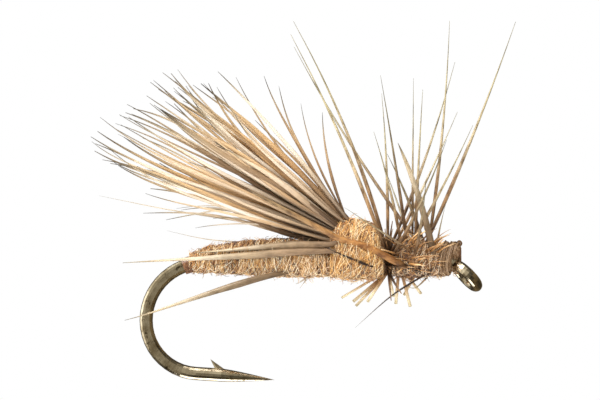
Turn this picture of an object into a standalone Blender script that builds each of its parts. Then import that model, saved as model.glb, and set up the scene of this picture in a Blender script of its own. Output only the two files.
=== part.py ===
"""A hair-wing dry fly tied on a size 12 hook, piece by piece as it would come apart on the bench.

Frame: metres, +Z up. The origin is the centre of the hook's eye, the shank runs back along -X, and the
hook's point hangs below it. Y is across the fly, with -Y the near side.

Everything tied on the hook is placed by its distance along the wire, counted back from where the neck
meets the eye's ring. "Clock" is the angle round the shank: 0 is on top and 90 degrees is the far side.
"""

import math
import random

import bmesh
import bpy
from mathutils import Matrix, Vector
from mathutils.geometry import interpolate_bezier

MM = 0.001
SEED = 12

# ---- hook -------------------------------------------------------------------------------------
WIRE_R = 0.31 * MM
SHANK_LENGTH = 11.47 * MM  # the straight stretch, from the neck's bend to the start of the hook's bend
SHANK_HEIGHT = 0.62 * MM  # shank axis above the eye's centre
UPPER_BEND_R = 2.70 * MM
LOWER_BEND_R = 2.47 * MM
POINT_DROOP = math.radians(3.5)
POINT_ARM = 3.68 * MM  # from the end of the bend to the point
POINT_TAPER = 2.5 * MM
POINT_TAPER_CURVE = 1.3
POINT_OUT = 0.25  # share of the wire's radius by which the point is drawn to the outside
FORGED_HALF = 0.25 * MM  # half the bend's thickness between its two forged flats
FORGED_RAMP = 0.9 * MM  # from round wire to flat
WIRE_SIDES = 16
WIRE_RINGS = (4, 4, 14, 12, 3, 6)  # along the neck, shank, upper bend, lower bend, point arm and point

EYE_RING_R = 0.66 * MM  # centreline of the ring
EYE_WIRE_R = 0.265 * MM
EYE_END_R = 0.21 * MM
EYE_DOWN = math.radians(45)
EYE_TWIST = math.radians(-11)
EYE_OPEN_FROM, EYE_OPEN_TO = math.radians(40), math.radians(312)
EYE_STEPS = 24
EYE_END_STEPS = 8  # over which the ring's wire grows from its cut end
EYE_END_DOME = 0.3  # share of the cut end's radius
NECK_BEND_R = 0.34 * MM
NECK_LEAD = 0.28 * EYE_RING_R  # how far the neck runs straight on into the ring
NECK_STEPS = 5
NECK_ROOM_R = WIRE_R + 0.09 * MM  # room in the head's thread for the neck, wider than its bend
SHANK_ROOM_R = WIRE_R + 0.05 * MM  # room in the lumps for the shank

BARB_RISE = 0.40 * MM  # barb's tip above the wire
BARB_REACH = 0.36 * MM  # barb's tip back from its root
BARB_ROOT = 0.34 * MM
BARB_HALF_WIDTH = 0.13 * MM
BARB_FROM_POINT = 2.69 * MM
# The barb's foot: height in wire radii, then share of its root's length and of its half width.
BARB_FOOT = (
    (0.2, 0, -1),
    (0.2, 0, 1),
    (0.2, 1, 1),
    (0.2, 1, -1),
    (0.97, 0, -0.8),
    (0.97, 0, 0.8),
    (0.88, 1, 0.5),
    (0.88, 1, -0.5),
)

# ---- thread and clearances --------------------------------------------------------------------
CLEAR = 0.02 * MM  # between any two neighbours
THREAD_BASE_WALL = 0.06 * MM
THREAD_TURN = 0.11 * MM
THREAD_BASE_TAIL = 0.45 * MM  # bare thread showing behind the abdomen
THREAD_BASE_STEP = 0.48 * MM  # between the rings that carry the thread base round the bend
WRAP_SIDES = 24
# A band's thickness and the height of its crests over it, in turns of thread.
BAND_THICKNESS, BAND_CREST = 0.9, 0.45
TIE_IN_THICKNESS, TIE_IN_CREST = 0.55, 0.3
BAND_RINGS_A_TURN = 4
HEAD_RINGS_A_TURN = 3
HEAD_GROOVE = 0.024 * MM

# ---- stations along the wire, front to back ---------------------------------------------------
HEAD_FROM_RING = 0.98 * MM  # head's front face to the eye's centre
HEAD_LENGTH = 0.53 * MM
# Lumps of the whip finish, leaning over the eye: size across X, Y and Z, how far ahead of the shank's
# start, and how far above its axis.
HEAD_LUMPS = ((0.76, 0.92, 0.80, 0.16, 0.50), (0.26, 0.26, 0.28, 0.36, 0.75))
LUMP_SIDES, LUMP_RINGS = 14, 9
SHANK_ROOM_SPAN = (-0.4, 0.7)  # shares of the head's length
THORAX_LENGTH = 2.10 * MM
WRAP_BAND = 0.17 * MM
HAIR_LANE = 0.20 * MM  # gap between the two bands, where the hair stands
COLLAR_LENGTH = 2.32 * MM
ABDOMEN_PAST_BEND = 0.54 * MM

# Outlines: share of the length from the front, then top, bottom and side distance from the shank's axis.
# The collar's top is counted from the top of the wing's bunch, which it covers.
HEAD_OUTLINE = ((0, 0.80, 0.50, 0.54), (0.4, 0.95, 0.53, 0.64), (1, 0.80, 0.56, 0.62))
THORAX_OUTLINE = (
    (0, 0.66, 0.50, 0.60),
    (0.15, 0.88, 0.60, 0.76),
    (0.5, 1.02, 0.68, 0.86),
    (0.85, 1.00, 0.68, 0.84),
    (1, 0.72, 0.54, 0.62),
)
COLLAR_OVER_BUNCH = (
    (0, -0.46, 0.66, 0.72),
    (0.10, 0.14, 0.74, 1.02),
    (0.35, 0.52, 0.76, 1.22),
    (0.70, 0.64, 0.74, 1.26),
    (0.90, 0.40, 0.68, 1.14),
    (1, -0.14, 0.62, 0.96),
)
ABDOMEN_OUTLINE = (
    (0, 0.62, 0.58, 0.80),
    (0.06, 0.88, 0.64, 0.92),
    (0.30, 1.14, 0.65, 0.90),
    (0.55, 1.06, 0.56, 0.80),
    (0.85, 0.80, 0.46, 0.64),
    (0.96, 0.64, 0.45, 0.54),
    (1, 0.47, 0.44, 0.45),
)
DUBBING_SIDES = 20
THORAX_RINGS, COLLAR_RINGS, ABDOMEN_RINGS = 14, 18, 34
NOODLE_PITCH = 0.62 * MM  # one turn of the dubbing noodle
NOODLE_RELIEF = 0.025 * MM

# ---- wing: one bunch of hair in seven locks, tied down on top of the shank -----------------------
LOCK_R = 0.165 * MM
LOCK_PITCH = 2 * LOCK_R + CLEAR
LOCK_RING = 6
LOCK_SIDES, LOCK_STEPS = 10, 9
TUNNEL_STEPS = 20
TUNNEL_WIDENS = 3 * CLEAR  # from the tunnel's front to its rear
WING_RISE = math.radians(40)  # wing's middle above the shank's line
WING_FAN_UP = math.radians(30)
WING_FAN_SIDE = math.radians(17)
WING_LENGTH = 11.8 * MM  # the longest hairs, which are the lowest
WING_SHORTENED = 5.6 * MM  # the steepest hairs are this much shorter
WING_LENGTH_SPREAD = 0.12  # share of a hair's length
WING_TIE_IN = 0.45 * MM  # behind the collar's front face
WING_WRAP_TURNS = 4
TIE_IN_RUN = 0.62 * MM  # the bunch lies flat on the shank this far, and then rises
WING_BEND_R = 1.3 * MM
WING_STUB = 0.40 * MM  # bound foot past the bend, before the hairs part
LOCK_HAIRS = 7
LOCK_HAIR_RING = 0.66 * LOCK_R  # the outer hairs' feet from their lock's middle
WING_HAIR_SUNK = 0.6 * LOCK_R  # a hair's foot inside its lock
WING_HAIR_R = 0.055 * MM
# Share of a hair's length from its foot, then share of its radius there.
WING_HAIR_SHAPE = ((0, 0.95), (0.10, 1.0), (0.28, 1.35), (0.50, 1.2), (0.75, 0.7))
WING_SAG = 0.035  # share of the length

# ---- single hairs -------------------------------------------------------------------------------
HAIR_SIDES = 5
HAIR_STEPS = 6
HAIR_TIP_R = 0.012 * MM
HAIR_TAPER = 1.5
BUTT_STEPS = 2
BUTT_END = 0.85  # share of the root's radius
THORAX_HAIR_INSET = 0.15 * MM  # from the thorax's two end faces
LAID_STEPS = 3  # between each two places on a laid hair's route
LAID_TAPER = 0.8
LAID_ROOT = 0.6  # share of the radius at the very root
LAID_ROOT_RUN = 0.2  # share of the length over which it reaches its full radius
ROOT_DEPTH_CLEAR = 0.03 * MM
HOLE_REACH = 2.2 * MM  # how far up a standing hair its hole is cut

# Long hackle hairs: where it stands (lane, or a share of the thorax from the front), clock, lean to the
# front, splay to the far side (degrees), length, how far the tip bends forward, and root radius (mm).
HACKLE = (
    ("lane", -64, -19, -12, 11.5, -0.90, 0.085),
    ("lane", -30, -15, -5, 11.6, -1.45, 0.085),
    ("lane", 4, 1, 2, 7.4, -0.40, 0.070),
    ("lane", 36, 24, 8, 9.6, -0.75, 0.075),
    ("lane", 68, 28, 15, 7.9, -0.30, 0.075),
    ("lane", -98, 31, -24, 7.0, -0.70, 0.075),
    (0.86, 0, -9, -8, 5.8, -0.45, 0.070),
    (0.84, -56, 31, -10, 7.0, -0.40, 0.075),
    (0.70, -30, -8, -2, 8.4, -0.15, 0.070),
    (0.62, 30, 1, 3, 8.2, -0.05, 0.075),
    (0.54, -8, 2, -3, 7.6, 0.10, 0.070),
    (0.10, 84, -37, 21, 12.9, 1.00, 0.075),
    (0.36, -20, 25, -5, 11.6, -0.60, 0.085),
    (0.22, 44, 9, 4, 11.0, -0.65, 0.075),
    (0.05, -62, -11, -14, 5.7, -0.65, 0.130),
    (0.24, 8, -17, 2, 4.9, -0.40, 0.085),
    (0.00, 22, 8, 4, 2.3, 0.15, 0.045),
    (0.36, -62, -57, -34, 5.2, 0.00, 0.050),
    (0.50, 100, -14, 38, 6.0, -0.30, 0.070),
    (0.58, -88, 12, -45, 5.5, -0.30, 0.070),
)

# Clipped butts below: the same terms, with no bend and a square end.
BUTTS = (
    ("lane", 140, 239, 4, 2.50, 0.055),
    ("lane", 164, 230, -2, 2.10, 0.070),
    ("lane", 188, 224, -8, 2.15, 0.065),
    ("lane", 212, 214, -16, 1.75, 0.070),
    ("lane", 236, 168, 4, 1.35, 0.060),
    (0.96, 172, 185, 4, 1.45, 0.070),
    (0.88, 200, 166, -8, 1.65, 0.070),
    (0.80, 154, 143, 10, 1.30, 0.065),
    (0.50, 184, 209, 0, 1.20, 0.060),
)

# Hairs that lie along the fly: root radius (mm), then the route from the root as mm back from the eye,
# clock, and height of the hair's middle above the dubbing. Below zero it is bedded in the dubbing.
LAID = {
    "side_hair_upper": (
        0.110,
        (
            (5.6, -44, -0.25),
            (6.0, -45, -0.05),
            (6.4, -46, 0.50),
            (7.4, -46, 0.24),
            (8.8, -46, 0.15),
            (12.8, -52, 0.26),
        ),
    ),
    "side_hair_lower": (
        0.120,
        (
            (5.6, -64, -0.24),
            (6.0, -62, -0.05),
            (6.4, -61, 0.36),
            (8.1, -63, 0.17),
            (10.1, -70, 0.2),
            (16.0, -90, 0.5),
        ),
    ),
    "underslung_hair": (
        0.150,
        (
            (7.9, -124, -0.22),
            (8.5, -126, 0.02),
            (9.8, -126, 0.60),
            (12.0, -142, 1.3),
            (14.8, -153, 2.2),
            (15.9, -155, 2.5),
        ),
    ),
    "far_side_hair_upper": (
        0.060,
        (
            (5.6, 44, -0.25),
            (6.0, 46, -0.05),
            (6.6, 50, 0.58),
            (9.7, 45, 1.60),
            (13.9, 40, 2.75),
            (17.2, 36, 3.40),
        ),
    ),
    "far_side_hair_lower": (
        0.055,
        (
            (5.7, 68, -0.22),
            (6.1, 66, -0.04),
            (6.7, 64, 0.28),
            (9.0, 62, 0.85),
            (12.0, 57, 1.30),
            (14.0, 49, 1.80),
        ),
    ),
    "over_collar_hair": (
        0.120,
        (
            (2.8, -100, 0.18),
            (3.6, -79, 0.46),
            (4.3, -62, 0.13),
            (5.2, -51, 0.05),
            (6.2, -45, 0.60),
            (10.2, -36, 3.30),
        ),
    ),
    "dark_collar_hair": (
        0.045,
        (
            (4.1, -104, -0.12),
            (4.5, -97, 0.04),
            (5.1, -86, 0.08),
            (5.8, -74, 0.14),
            (6.9, -60, 0.80),
        ),
    ),
    "drooping_hair": (
        0.045,
        (
            (1.5, -136, -0.16),
            (1.8, -138, 0.02),
            (2.3, -144, 0.22),
            (3.6, -157, 1.20),
            (5.2, -165, 2.36),
        ),
    ),
    "curled_hair": (
        0.040,
        (
            (1.6, 168, -0.12),
            (1.8, 170, 0.05),
            (2.4, 176, 0.50),
            (2.95, 180, 0.34),
        ),
    ),
}

# Colour, roughness and metallic value of each material.
MATERIALS = {
    "bronzed_wire": ((0.36, 0.31, 0.22), 0.25, 1.0),
    "tan_thread": ((0.50, 0.33, 0.18), 0.55, 0.0),
    "brown_thread": ((0.16, 0.09, 0.05), 0.5, 0.0),
    "golden_dubbing": ((0.66, 0.42, 0.20), 0.9, 0.0),
    "rust_dubbing": ((0.42, 0.22, 0.10), 0.9, 0.0),
    "wing_hair": ((0.60, 0.47, 0.34), 0.6, 0.0),
    "hackle_hair": ((0.52, 0.43, 0.28), 0.55, 0.0),
    "butt_hair": ((0.66, 0.52, 0.30), 0.6, 0.0),
    "pale_hair": ((0.72, 0.61, 0.46), 0.6, 0.0),
}
SHARP_ANGLE = math.radians(50)


# ---- the wire's centreline ----------------------------------------------------------------------
class PlanePath:
    """A chain of lines and left-turning arcs in the XZ plane, walked by distance."""

    def __init__(self, start, heading):
        self.pieces = []
        self.length = 0.0
        self.end = Vector(start)
        self.heading = heading

    def _add(self, radius, span):
        self.pieces.append((self.length, span, self.end.copy(), self.heading, radius))
        self.length += span
        self.end, self.heading = self._walk(self.pieces[-1], span)

    def line(self, span):
        self._add(None, span)

    def arc(self, radius, turn):
        self._add(radius, radius * turn)

    @staticmethod
    def _walk(piece, distance):
        _, _, start, heading, radius = piece
        ahead = Vector((math.cos(heading), 0, math.sin(heading)))
        if radius is None:
            return start + ahead * distance, heading
        left = Vector((-math.sin(heading), 0, math.cos(heading)))
        turned = distance / radius
        return start + radius * (ahead * math.sin(turned) + left * (1 - math.cos(turned))), heading + turned

    def at(self, distance):
        """Place, direction of travel and outward normal at a distance along the path."""
        piece = max((p for p in self.pieces if p[0] <= distance), key=lambda p: p[0], default=self.pieces[0])
        place, heading = self._walk(piece, distance - piece[0])
        ahead = Vector((math.cos(heading), 0, math.sin(heading)))
        return place, ahead, Vector((ahead.z, 0, -ahead.x))


def wire_path():
    """From the neck, where it meets the eye's ring, back along the shank and round the bend to the point."""
    corner = Vector((-SHANK_HEIGHT / math.tan(EYE_DOWN), 0, SHANK_HEIGHT))
    towards_eye = Vector((math.cos(EYE_DOWN), 0, -math.sin(EYE_DOWN)))
    neck_end = corner + towards_eye * NECK_BEND_R * math.tan(EYE_DOWN / 2)
    path = PlanePath(neck_end, math.pi - EYE_DOWN)
    path.arc(NECK_BEND_R, EYE_DOWN)
    path.line(SHANK_LENGTH)
    path.arc(UPPER_BEND_R, math.pi / 2)
    path.arc(LOWER_BEND_R, math.pi / 2 - POINT_DROOP)
    path.line(POINT_ARM)
    return path


WIRE = wire_path()
NECK_TO_SHANK = NECK_BEND_R * EYE_DOWN
BEND_START = NECK_TO_SHANK + SHANK_LENGTH
BEND_END = BEND_START + UPPER_BEND_R * math.pi / 2 + LOWER_BEND_R * (math.pi / 2 - POINT_DROOP)
NECK_END_TO_EYE = WIRE.at(0)[0].length

THREAD_R = WIRE_R + CLEAR + THREAD_BASE_WALL
HEAD_AT = HEAD_FROM_RING - NECK_END_TO_EYE
THORAX_AT = HEAD_AT + HEAD_LENGTH + CLEAR
FRONT_BAND_AT = THORAX_AT + THORAX_LENGTH + CLEAR
LANE_AT = FRONT_BAND_AT + WRAP_BAND + HAIR_LANE / 2
REAR_BAND_AT = FRONT_BAND_AT + WRAP_BAND + HAIR_LANE
COLLAR_AT = REAR_BAND_AT + WRAP_BAND + CLEAR
ABDOMEN_AT = COLLAR_AT + COLLAR_LENGTH + CLEAR
ABDOMEN_END = BEND_START + ABDOMEN_PAST_BEND
WING_AT = COLLAR_AT + WING_TIE_IN
BUNCH_R = LOCK_PITCH + LOCK_R
BUNCH_HEIGHT = THREAD_R + CLEAR + BUNCH_R  # the bunch's middle above the shank's axis
BUNCH_TOP = BUNCH_HEIGHT + BUNCH_R
COLLAR_OUTLINE = tuple(
    (share, over + BUNCH_TOP / MM, bottom, side) for share, over, bottom, side in COLLAR_OVER_BUNCH
)


# ---- meshes -------------------------------------------------------------------------------------
def material(name):
    found = bpy.data.materials.get(name)
    if found is None:
        colour, roughness, metallic = MATERIALS[name]
        found = bpy.data.materials.new(name)
        found.use_nodes = True
        shader = found.node_tree.nodes["Principled BSDF"]
        shader.inputs["Base Color"].default_value = (*colour, 1)
        shader.inputs["Roughness"].default_value = roughness
        shader.inputs["Metallic"].default_value = metallic
    return found


def new_object(name, mesh, finish, at=(0, 0, 0), smooth=True):
    """An object whose origin is at a place in the fly's frame. The mesh comes in the fly's frame too."""
    mesh.transform(Matrix.Translation(-Vector(at)))
    obj = bpy.data.objects.new(name, mesh)
    obj.location = at
    obj.parent = bpy.data.objects["dry_fly"]
    bpy.context.scene.collection.objects.link(obj)
    mesh.materials.append(material(finish))
    if smooth:
        mesh.shade_smooth()
        mesh.set_sharp_from_angle(angle=SHARP_ANGLE)
    return obj


def hide_cutter(obj):
    obj.hide_render = True
    obj.display_type = "WIRE"
    return obj


def boolean(obj, cutter, operation):
    modifier = obj.modifiers.new(cutter.name, "BOOLEAN")
    modifier.operation = operation
    modifier.solver = "EXACT"
    modifier.object = hide_cutter(cutter)


def mesh_of(name, bm):
    bmesh.ops.recalc_face_normals(bm, faces=bm.faces)
    mesh = bpy.data.meshes.new(name)
    bm.to_mesh(mesh)
    bm.free()
    return mesh


def bridge(bm, first, second):
    count = len(first)
    for k in range(count):
        bm.faces.new((first[k], first[(k + 1) % count], second[(k + 1) % count], second[k]))


def close_end(bm, ring, apex):
    """Closes a tube's end with a flat cap, or with a cone to an apex."""
    if apex is None:
        bm.faces.new(ring)
        return
    tip = bm.verts.new(apex)
    for k in range(len(ring)):
        bm.faces.new((ring[k], ring[(k + 1) % len(ring)], tip))


def frames(points, across):
    """A tangent and two normals at each point, turned as little as possible from one to the next."""
    found = []
    for i in range(len(points)):
        tangent = (points[min(i + 1, len(points) - 1)] - points[max(i - 1, 0)]).normalized()
        if found:
            across = found[-1][0].rotation_difference(tangent) @ across
        across = (across - tangent * across.dot(tangent)).normalized()
        found.append((tangent, across, tangent.cross(across)))
    return found


def tube(bm, points, radii, sides, half_thickness=None, start_apex=None, end_apex=None):
    """A closed tube through the points. half_thickness, one for each point, flattens it across Y."""
    rings = []
    turned = frames(points, Vector((0, 1, 0)))
    for i, (point, radius, (_, first, second)) in enumerate(zip(points, radii, turned)):
        ring = []
        for k in range(sides):
            angle = 2 * math.pi * (k + 0.5) / sides
            offset = radius * (math.cos(angle) * first + math.sin(angle) * second)
            if half_thickness:
                offset.y = max(-half_thickness[i], min(half_thickness[i], offset.y))
            ring.append(bm.verts.new(point + offset))
        rings.append(ring)
    for first, second in zip(rings, rings[1:]):
        bridge(bm, first, second)
    close_end(bm, rings[0][::-1], start_apex)
    close_end(bm, rings[-1], end_apex)


def spline(points, steps):
    """A smooth curve through the points, with the given number of steps between each two."""
    ends = [2 * points[0] - points[1], *points, 2 * points[-1] - points[-2]]
    found = []
    for before, here, there, after in zip(ends, ends[1:], ends[2:], ends[3:]):
        for k in range(steps):
            t = k / steps
            found.append(
                0.5
                * (
                    2 * here
                    + (there - before) * t
                    + (2 * before - 5 * here + 4 * there - after) * t**2
                    + (3 * here - before - 3 * there + after) * t**3
                )
            )
    found.append(points[-1].copy())
    return found


def outline_at(rows, share):
    """Top, bottom and side distance at a share of the length, on a smooth curve through the rows."""
    share = max(0.0, min(1.0, share))
    for before, after in zip(rows, rows[1:]):
        if share <= after[0]:
            t = (share - before[0]) / (after[0] - before[0])
            t = t * t * (3 - 2 * t)
            return [(a + (b - a) * t) * MM for a, b in zip(before[1:], after[1:])]
    return [x * MM for x in rows[-1][1:]]


def radius_at(sizes, clock):
    """Distance from the shank's axis to an outline of two half ellipses."""
    top, bottom, side = sizes
    upright = top if math.cos(clock) > 0 else bottom
    return 1 / math.hypot(math.cos(clock) / upright, math.sin(clock) / side)


def at_clock(distance, clock, radius):
    """A point round the wire, at a distance along it."""
    place, _, up = WIRE.at(distance)
    return place + radius * (math.cos(clock) * up + math.sin(clock) * Vector((0, 1, 0)))


def spread(first, last, count):
    return [first + (last - first) * k / (count - 1) for k in range(count)]


def sleeve(name, start, length, sizes_at, bore, finish, count, sides):
    """A ring-shaped body round the wire. sizes_at gives its outline at a share of its length."""
    bm = bmesh.new()
    clocks = [2 * math.pi * k / sides for k in range(sides)]
    bore_corner = bore / math.cos(math.pi / sides)

    def ring(distance, radius_of):
        return [bm.verts.new(at_clock(distance, clock, radius_of(clock))) for clock in clocks]

    places = spread(start, start + length, count)
    outer = []
    for distance in places:
        sizes = sizes_at((distance - start) / length)
        outer.append(ring(distance, lambda clock: radius_at(sizes, clock)))
    curved = [d for d in places[1:-1] if d > BEND_START or d < NECK_TO_SHANK]
    inner = [ring(distance, lambda clock: bore_corner) for distance in (places[0], *curved, places[-1])]
    for rings in (outer, inner):
        for first, second in zip(rings, rings[1:]):
            bridge(bm, first, second)
    bridge(bm, outer[0], inner[0])
    bridge(bm, outer[-1], inner[-1])
    return new_object(name, mesh_of(name, bm), finish, WIRE.at(start)[0])


# ---- the hook -----------------------------------------------------------------------------------
def eye_loop():
    """The eye's ring from its cut end to the neck, as points and radii. It lies in a plane through Y."""
    towards_eye = Vector((math.cos(EYE_DOWN), 0, -math.sin(EYE_DOWN)))
    twist = Matrix.Rotation(EYE_TWIST, 3, towards_eye)

    def in_plane(along, across):
        return twist @ (towards_eye * along + Vector((0, across, 0)))

    def on_ring(angle):
        return in_plane(-EYE_RING_R * math.cos(angle), -EYE_RING_R * math.sin(angle))

    angles = spread(EYE_OPEN_TO, EYE_OPEN_FROM, EYE_STEPS)
    points = [on_ring(angle) for angle in angles]
    radii = [EYE_END_R + (EYE_WIRE_R - EYE_END_R) * min(1, k / EYE_END_STEPS) for k in range(EYE_STEPS)]
    neck = in_plane(-NECK_END_TO_EYE, 0)
    joins = on_ring(EYE_OPEN_FROM)
    heading = in_plane(math.sin(EYE_OPEN_FROM), -math.cos(EYE_OPEN_FROM)).normalized()
    leads = (joins - heading * NECK_LEAD, neck + towards_eye * NECK_LEAD)
    jog = interpolate_bezier(joins, *leads, neck, NECK_STEPS + 1)
    points += jog[1:-1]
    radii += [EYE_WIRE_R + (WIRE_R - EYE_WIRE_R) * k / NECK_STEPS for k in range(1, NECK_STEPS)]
    return points, radii


def forged_half(distance):
    """Half the wire's thickness across Y: round on the shank and the point, flattened in the bend."""
    round_again = WIRE.length - BARB_FROM_POINT - FORGED_RAMP
    pressed = min(distance - BEND_START, round_again - distance) / FORGED_RAMP
    return WIRE_R - (WIRE_R - FORGED_HALF) * max(0.0, min(1.0, pressed))


def build_hook():
    points, radii = eye_loop()
    half = [WIRE_R] * len(points)
    taper_from = WIRE.length - POINT_TAPER
    lower_bend = BEND_START + UPPER_BEND_R * math.pi / 2
    turning = (0, NECK_TO_SHANK, BEND_START, lower_bend, BEND_END, taper_from, WIRE.length)
    distances = [0]
    for start, end, rings in zip(turning, turning[1:], WIRE_RINGS):
        distances += spread(start, end, rings)[1:]
    for distance in distances[:-1]:
        place, _, outward = WIRE.at(distance)
        share = max(0.0, (distance - taper_from) / POINT_TAPER)
        points.append(place + outward * POINT_OUT * WIRE_R * share)
        radii.append(WIRE_R * (1 - share**POINT_TAPER_CURVE))
        half.append(forged_half(distance))
    tip, _, outward = WIRE.at(WIRE.length)
    cut_end = points[0] + (points[0] - points[1]).normalized() * EYE_END_R * EYE_END_DOME
    point = tip + outward * POINT_OUT * WIRE_R
    bm = bmesh.new()
    tube(bm, points, radii, WIRE_SIDES, half_thickness=half, start_apex=cut_end, end_apex=point)
    hook = new_object("hook", mesh_of("hook", bm), "bronzed_wire")
    boolean(hook, build_barb(), "UNION")


def build_barb():
    """The sliver raised from the point arm, on the inside of the bend, leaning back towards the bend."""
    root, ahead, outward = WIRE.at(WIRE.length - BARB_FROM_POINT)
    inward = -outward
    tip = root + inward * (WIRE_R + BARB_RISE) - ahead * BARB_REACH
    bm = bmesh.new()
    corners = [
        root + inward * WIRE_R * height + ahead * BARB_ROOT * along + Vector((0, BARB_HALF_WIDTH * across, 0))
        for height, along, across in BARB_FOOT
    ]
    for corner in (*corners, tip):
        bm.verts.new(corner)
    bmesh.ops.convex_hull(bm, input=bm.verts)
    return new_object("barb_sliver", mesh_of("barb_sliver", bm), "bronzed_wire", smooth=False)


# ---- thread -------------------------------------------------------------------------------------
def build_thread_base():
    start = THORAX_AT
    length = ABDOMEN_END + THREAD_BASE_TAIL - start
    sizes = (THREAD_R, THREAD_R, THREAD_R)
    rings = round(length / THREAD_BASE_STEP) + 1
    bore = WIRE_R + CLEAR
    sleeve("thread_underbody", start, length, lambda share: sizes, bore, "tan_thread", rings, WIRE_SIDES)


def build_wrap_band(name, start):
    """A narrow band of thread turns that holds the flared hair at its foot."""
    turns = max(1, round(WRAP_BAND / THREAD_TURN))

    def sizes_at(share):
        crest = 0.5 - 0.5 * math.cos(2 * math.pi * turns * share)
        radius = THREAD_R + CLEAR + THREAD_TURN * (BAND_THICKNESS + BAND_CREST * crest)
        return radius, radius, radius

    rings = BAND_RINGS_A_TURN * turns + 1
    return sleeve(name, start, WRAP_BAND, sizes_at, THREAD_R + CLEAR, "brown_thread", rings, WRAP_SIDES)


def build_head():
    """Whip-finished thread turns that close the fly behind the eye."""
    turns = round(HEAD_LENGTH / THREAD_TURN)

    def sizes_at(share):
        groove = HEAD_GROOVE * (0.5 - 0.5 * math.cos(2 * math.pi * turns * share))
        return [size - groove for size in outline_at(HEAD_OUTLINE, share)]

    rings = HEAD_RINGS_A_TURN * turns + 1
    bore = WIRE_R + CLEAR
    head = sleeve("head_thread", HEAD_AT, HEAD_LENGTH, sizes_at, bore, "brown_thread", rings, WRAP_SIDES)
    for number, (across_x, across_y, across_z, ahead, above) in enumerate(HEAD_LUMPS, 1):
        at = WIRE.at(NECK_TO_SHANK)[0] + Vector((ahead, 0, above)) * MM
        halves = (across_x * MM / 2, across_y * MM / 2, across_z * MM / 2)
        place = Matrix.Translation(at) @ Matrix.Diagonal((*halves, 1))
        bm = bmesh.new()
        bmesh.ops.create_uvsphere(bm, u_segments=LUMP_SIDES, v_segments=LUMP_RINGS, radius=1, matrix=place)
        name = f"whip_finish_lump_{number}"
        boolean(head, new_object(name, mesh_of(name, bm), "brown_thread", at), "UNION")
    neck, up_the_neck, _ = WIRE.at(0)
    shank = [WIRE.at(NECK_TO_SHANK + share * HEAD_LENGTH)[0] for share in SHANK_ROOM_SPAN]
    rooms = (
        ("neck_room", neck - up_the_neck * 2 * WIRE_R, neck + up_the_neck * WIRE_R, NECK_ROOM_R),
        ("shank_room", *shank, SHANK_ROOM_R),
    )
    for name, start, end, radius in rooms:
        bm = bmesh.new()
        tube(bm, [start, end], [radius] * 2, WRAP_SIDES)
        boolean(head, new_object(name, mesh_of(name, bm), "brown_thread", start), "DIFFERENCE")


def tie_in_ring(distance, extra, sides):
    """The outline of a thread pulled tight round the shank and the bunch on top of it, this far off them."""
    found = []
    for k in range(sides):
        clock = 2 * math.pi * k / sides
        on_shank = THREAD_R
        on_bunch = BUNCH_HEIGHT * math.cos(clock) + BUNCH_R
        centre, radius = (BUNCH_HEIGHT, BUNCH_R) if on_bunch > on_shank else (0.0, THREAD_R)
        place, _, up = WIRE.at(distance)
        found.append(place + up * centre + (at_clock(distance, clock, radius + extra) - place))
    return found


def build_wing_wraps():
    """The oval band of thread round the shank and the wing's bunch."""
    bm = bmesh.new()
    turns = WING_WRAP_TURNS
    length = turns * THREAD_TURN

    def ring(share, extra):
        return [bm.verts.new(p) for p in tie_in_ring(WING_AT + length * share, extra, WRAP_SIDES)]

    outer = []
    steps = BAND_RINGS_A_TURN * turns
    for k in range(steps + 1):
        share = k / steps
        crest = 0.5 - 0.5 * math.cos(2 * math.pi * turns * share)
        outer.append(ring(share, CLEAR + THREAD_TURN * (TIE_IN_THICKNESS + TIE_IN_CREST * crest)))
    inner = [ring(0, CLEAR), ring(1, CLEAR)]
    for rings in (outer, inner):
        for first, second in zip(rings, rings[1:]):
            bridge(bm, first, second)
    bridge(bm, outer[0], inner[0])
    bridge(bm, outer[-1], inner[-1])
    new_object("wing_tie_in_thread", mesh_of("wing_tie_in_thread", bm), "tan_thread", WIRE.at(WING_AT)[0])


# ---- dubbing ------------------------------------------------------------------------------------
def dubbed(rows, length):
    """Outline function with the shallow ridges of a dubbing noodle wound side by side."""
    turns = max(1, round(length / NOODLE_PITCH))

    def sizes_at(share):
        dip = NOODLE_RELIEF * (0.5 - 0.5 * math.cos(2 * math.pi * turns * share))
        return [size - dip for size in outline_at(rows, share)]

    return sizes_at


def build_abdomen():
    length = ABDOMEN_END - ABDOMEN_AT
    sizes_at = dubbed(ABDOMEN_OUTLINE, length)
    bore = THREAD_R + CLEAR
    sizes = (sizes_at, bore, "golden_dubbing", ABDOMEN_RINGS, DUBBING_SIDES)
    return sleeve("abdomen_dubbing", ABDOMEN_AT, length, *sizes)


def build_thorax():
    sizes_at = dubbed(THORAX_OUTLINE, THORAX_LENGTH)
    bore = THREAD_R + CLEAR
    sizes = (sizes_at, bore, "rust_dubbing", THORAX_RINGS, DUBBING_SIDES)
    return sleeve("thorax_dubbing", THORAX_AT, THORAX_LENGTH, *sizes)


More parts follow.
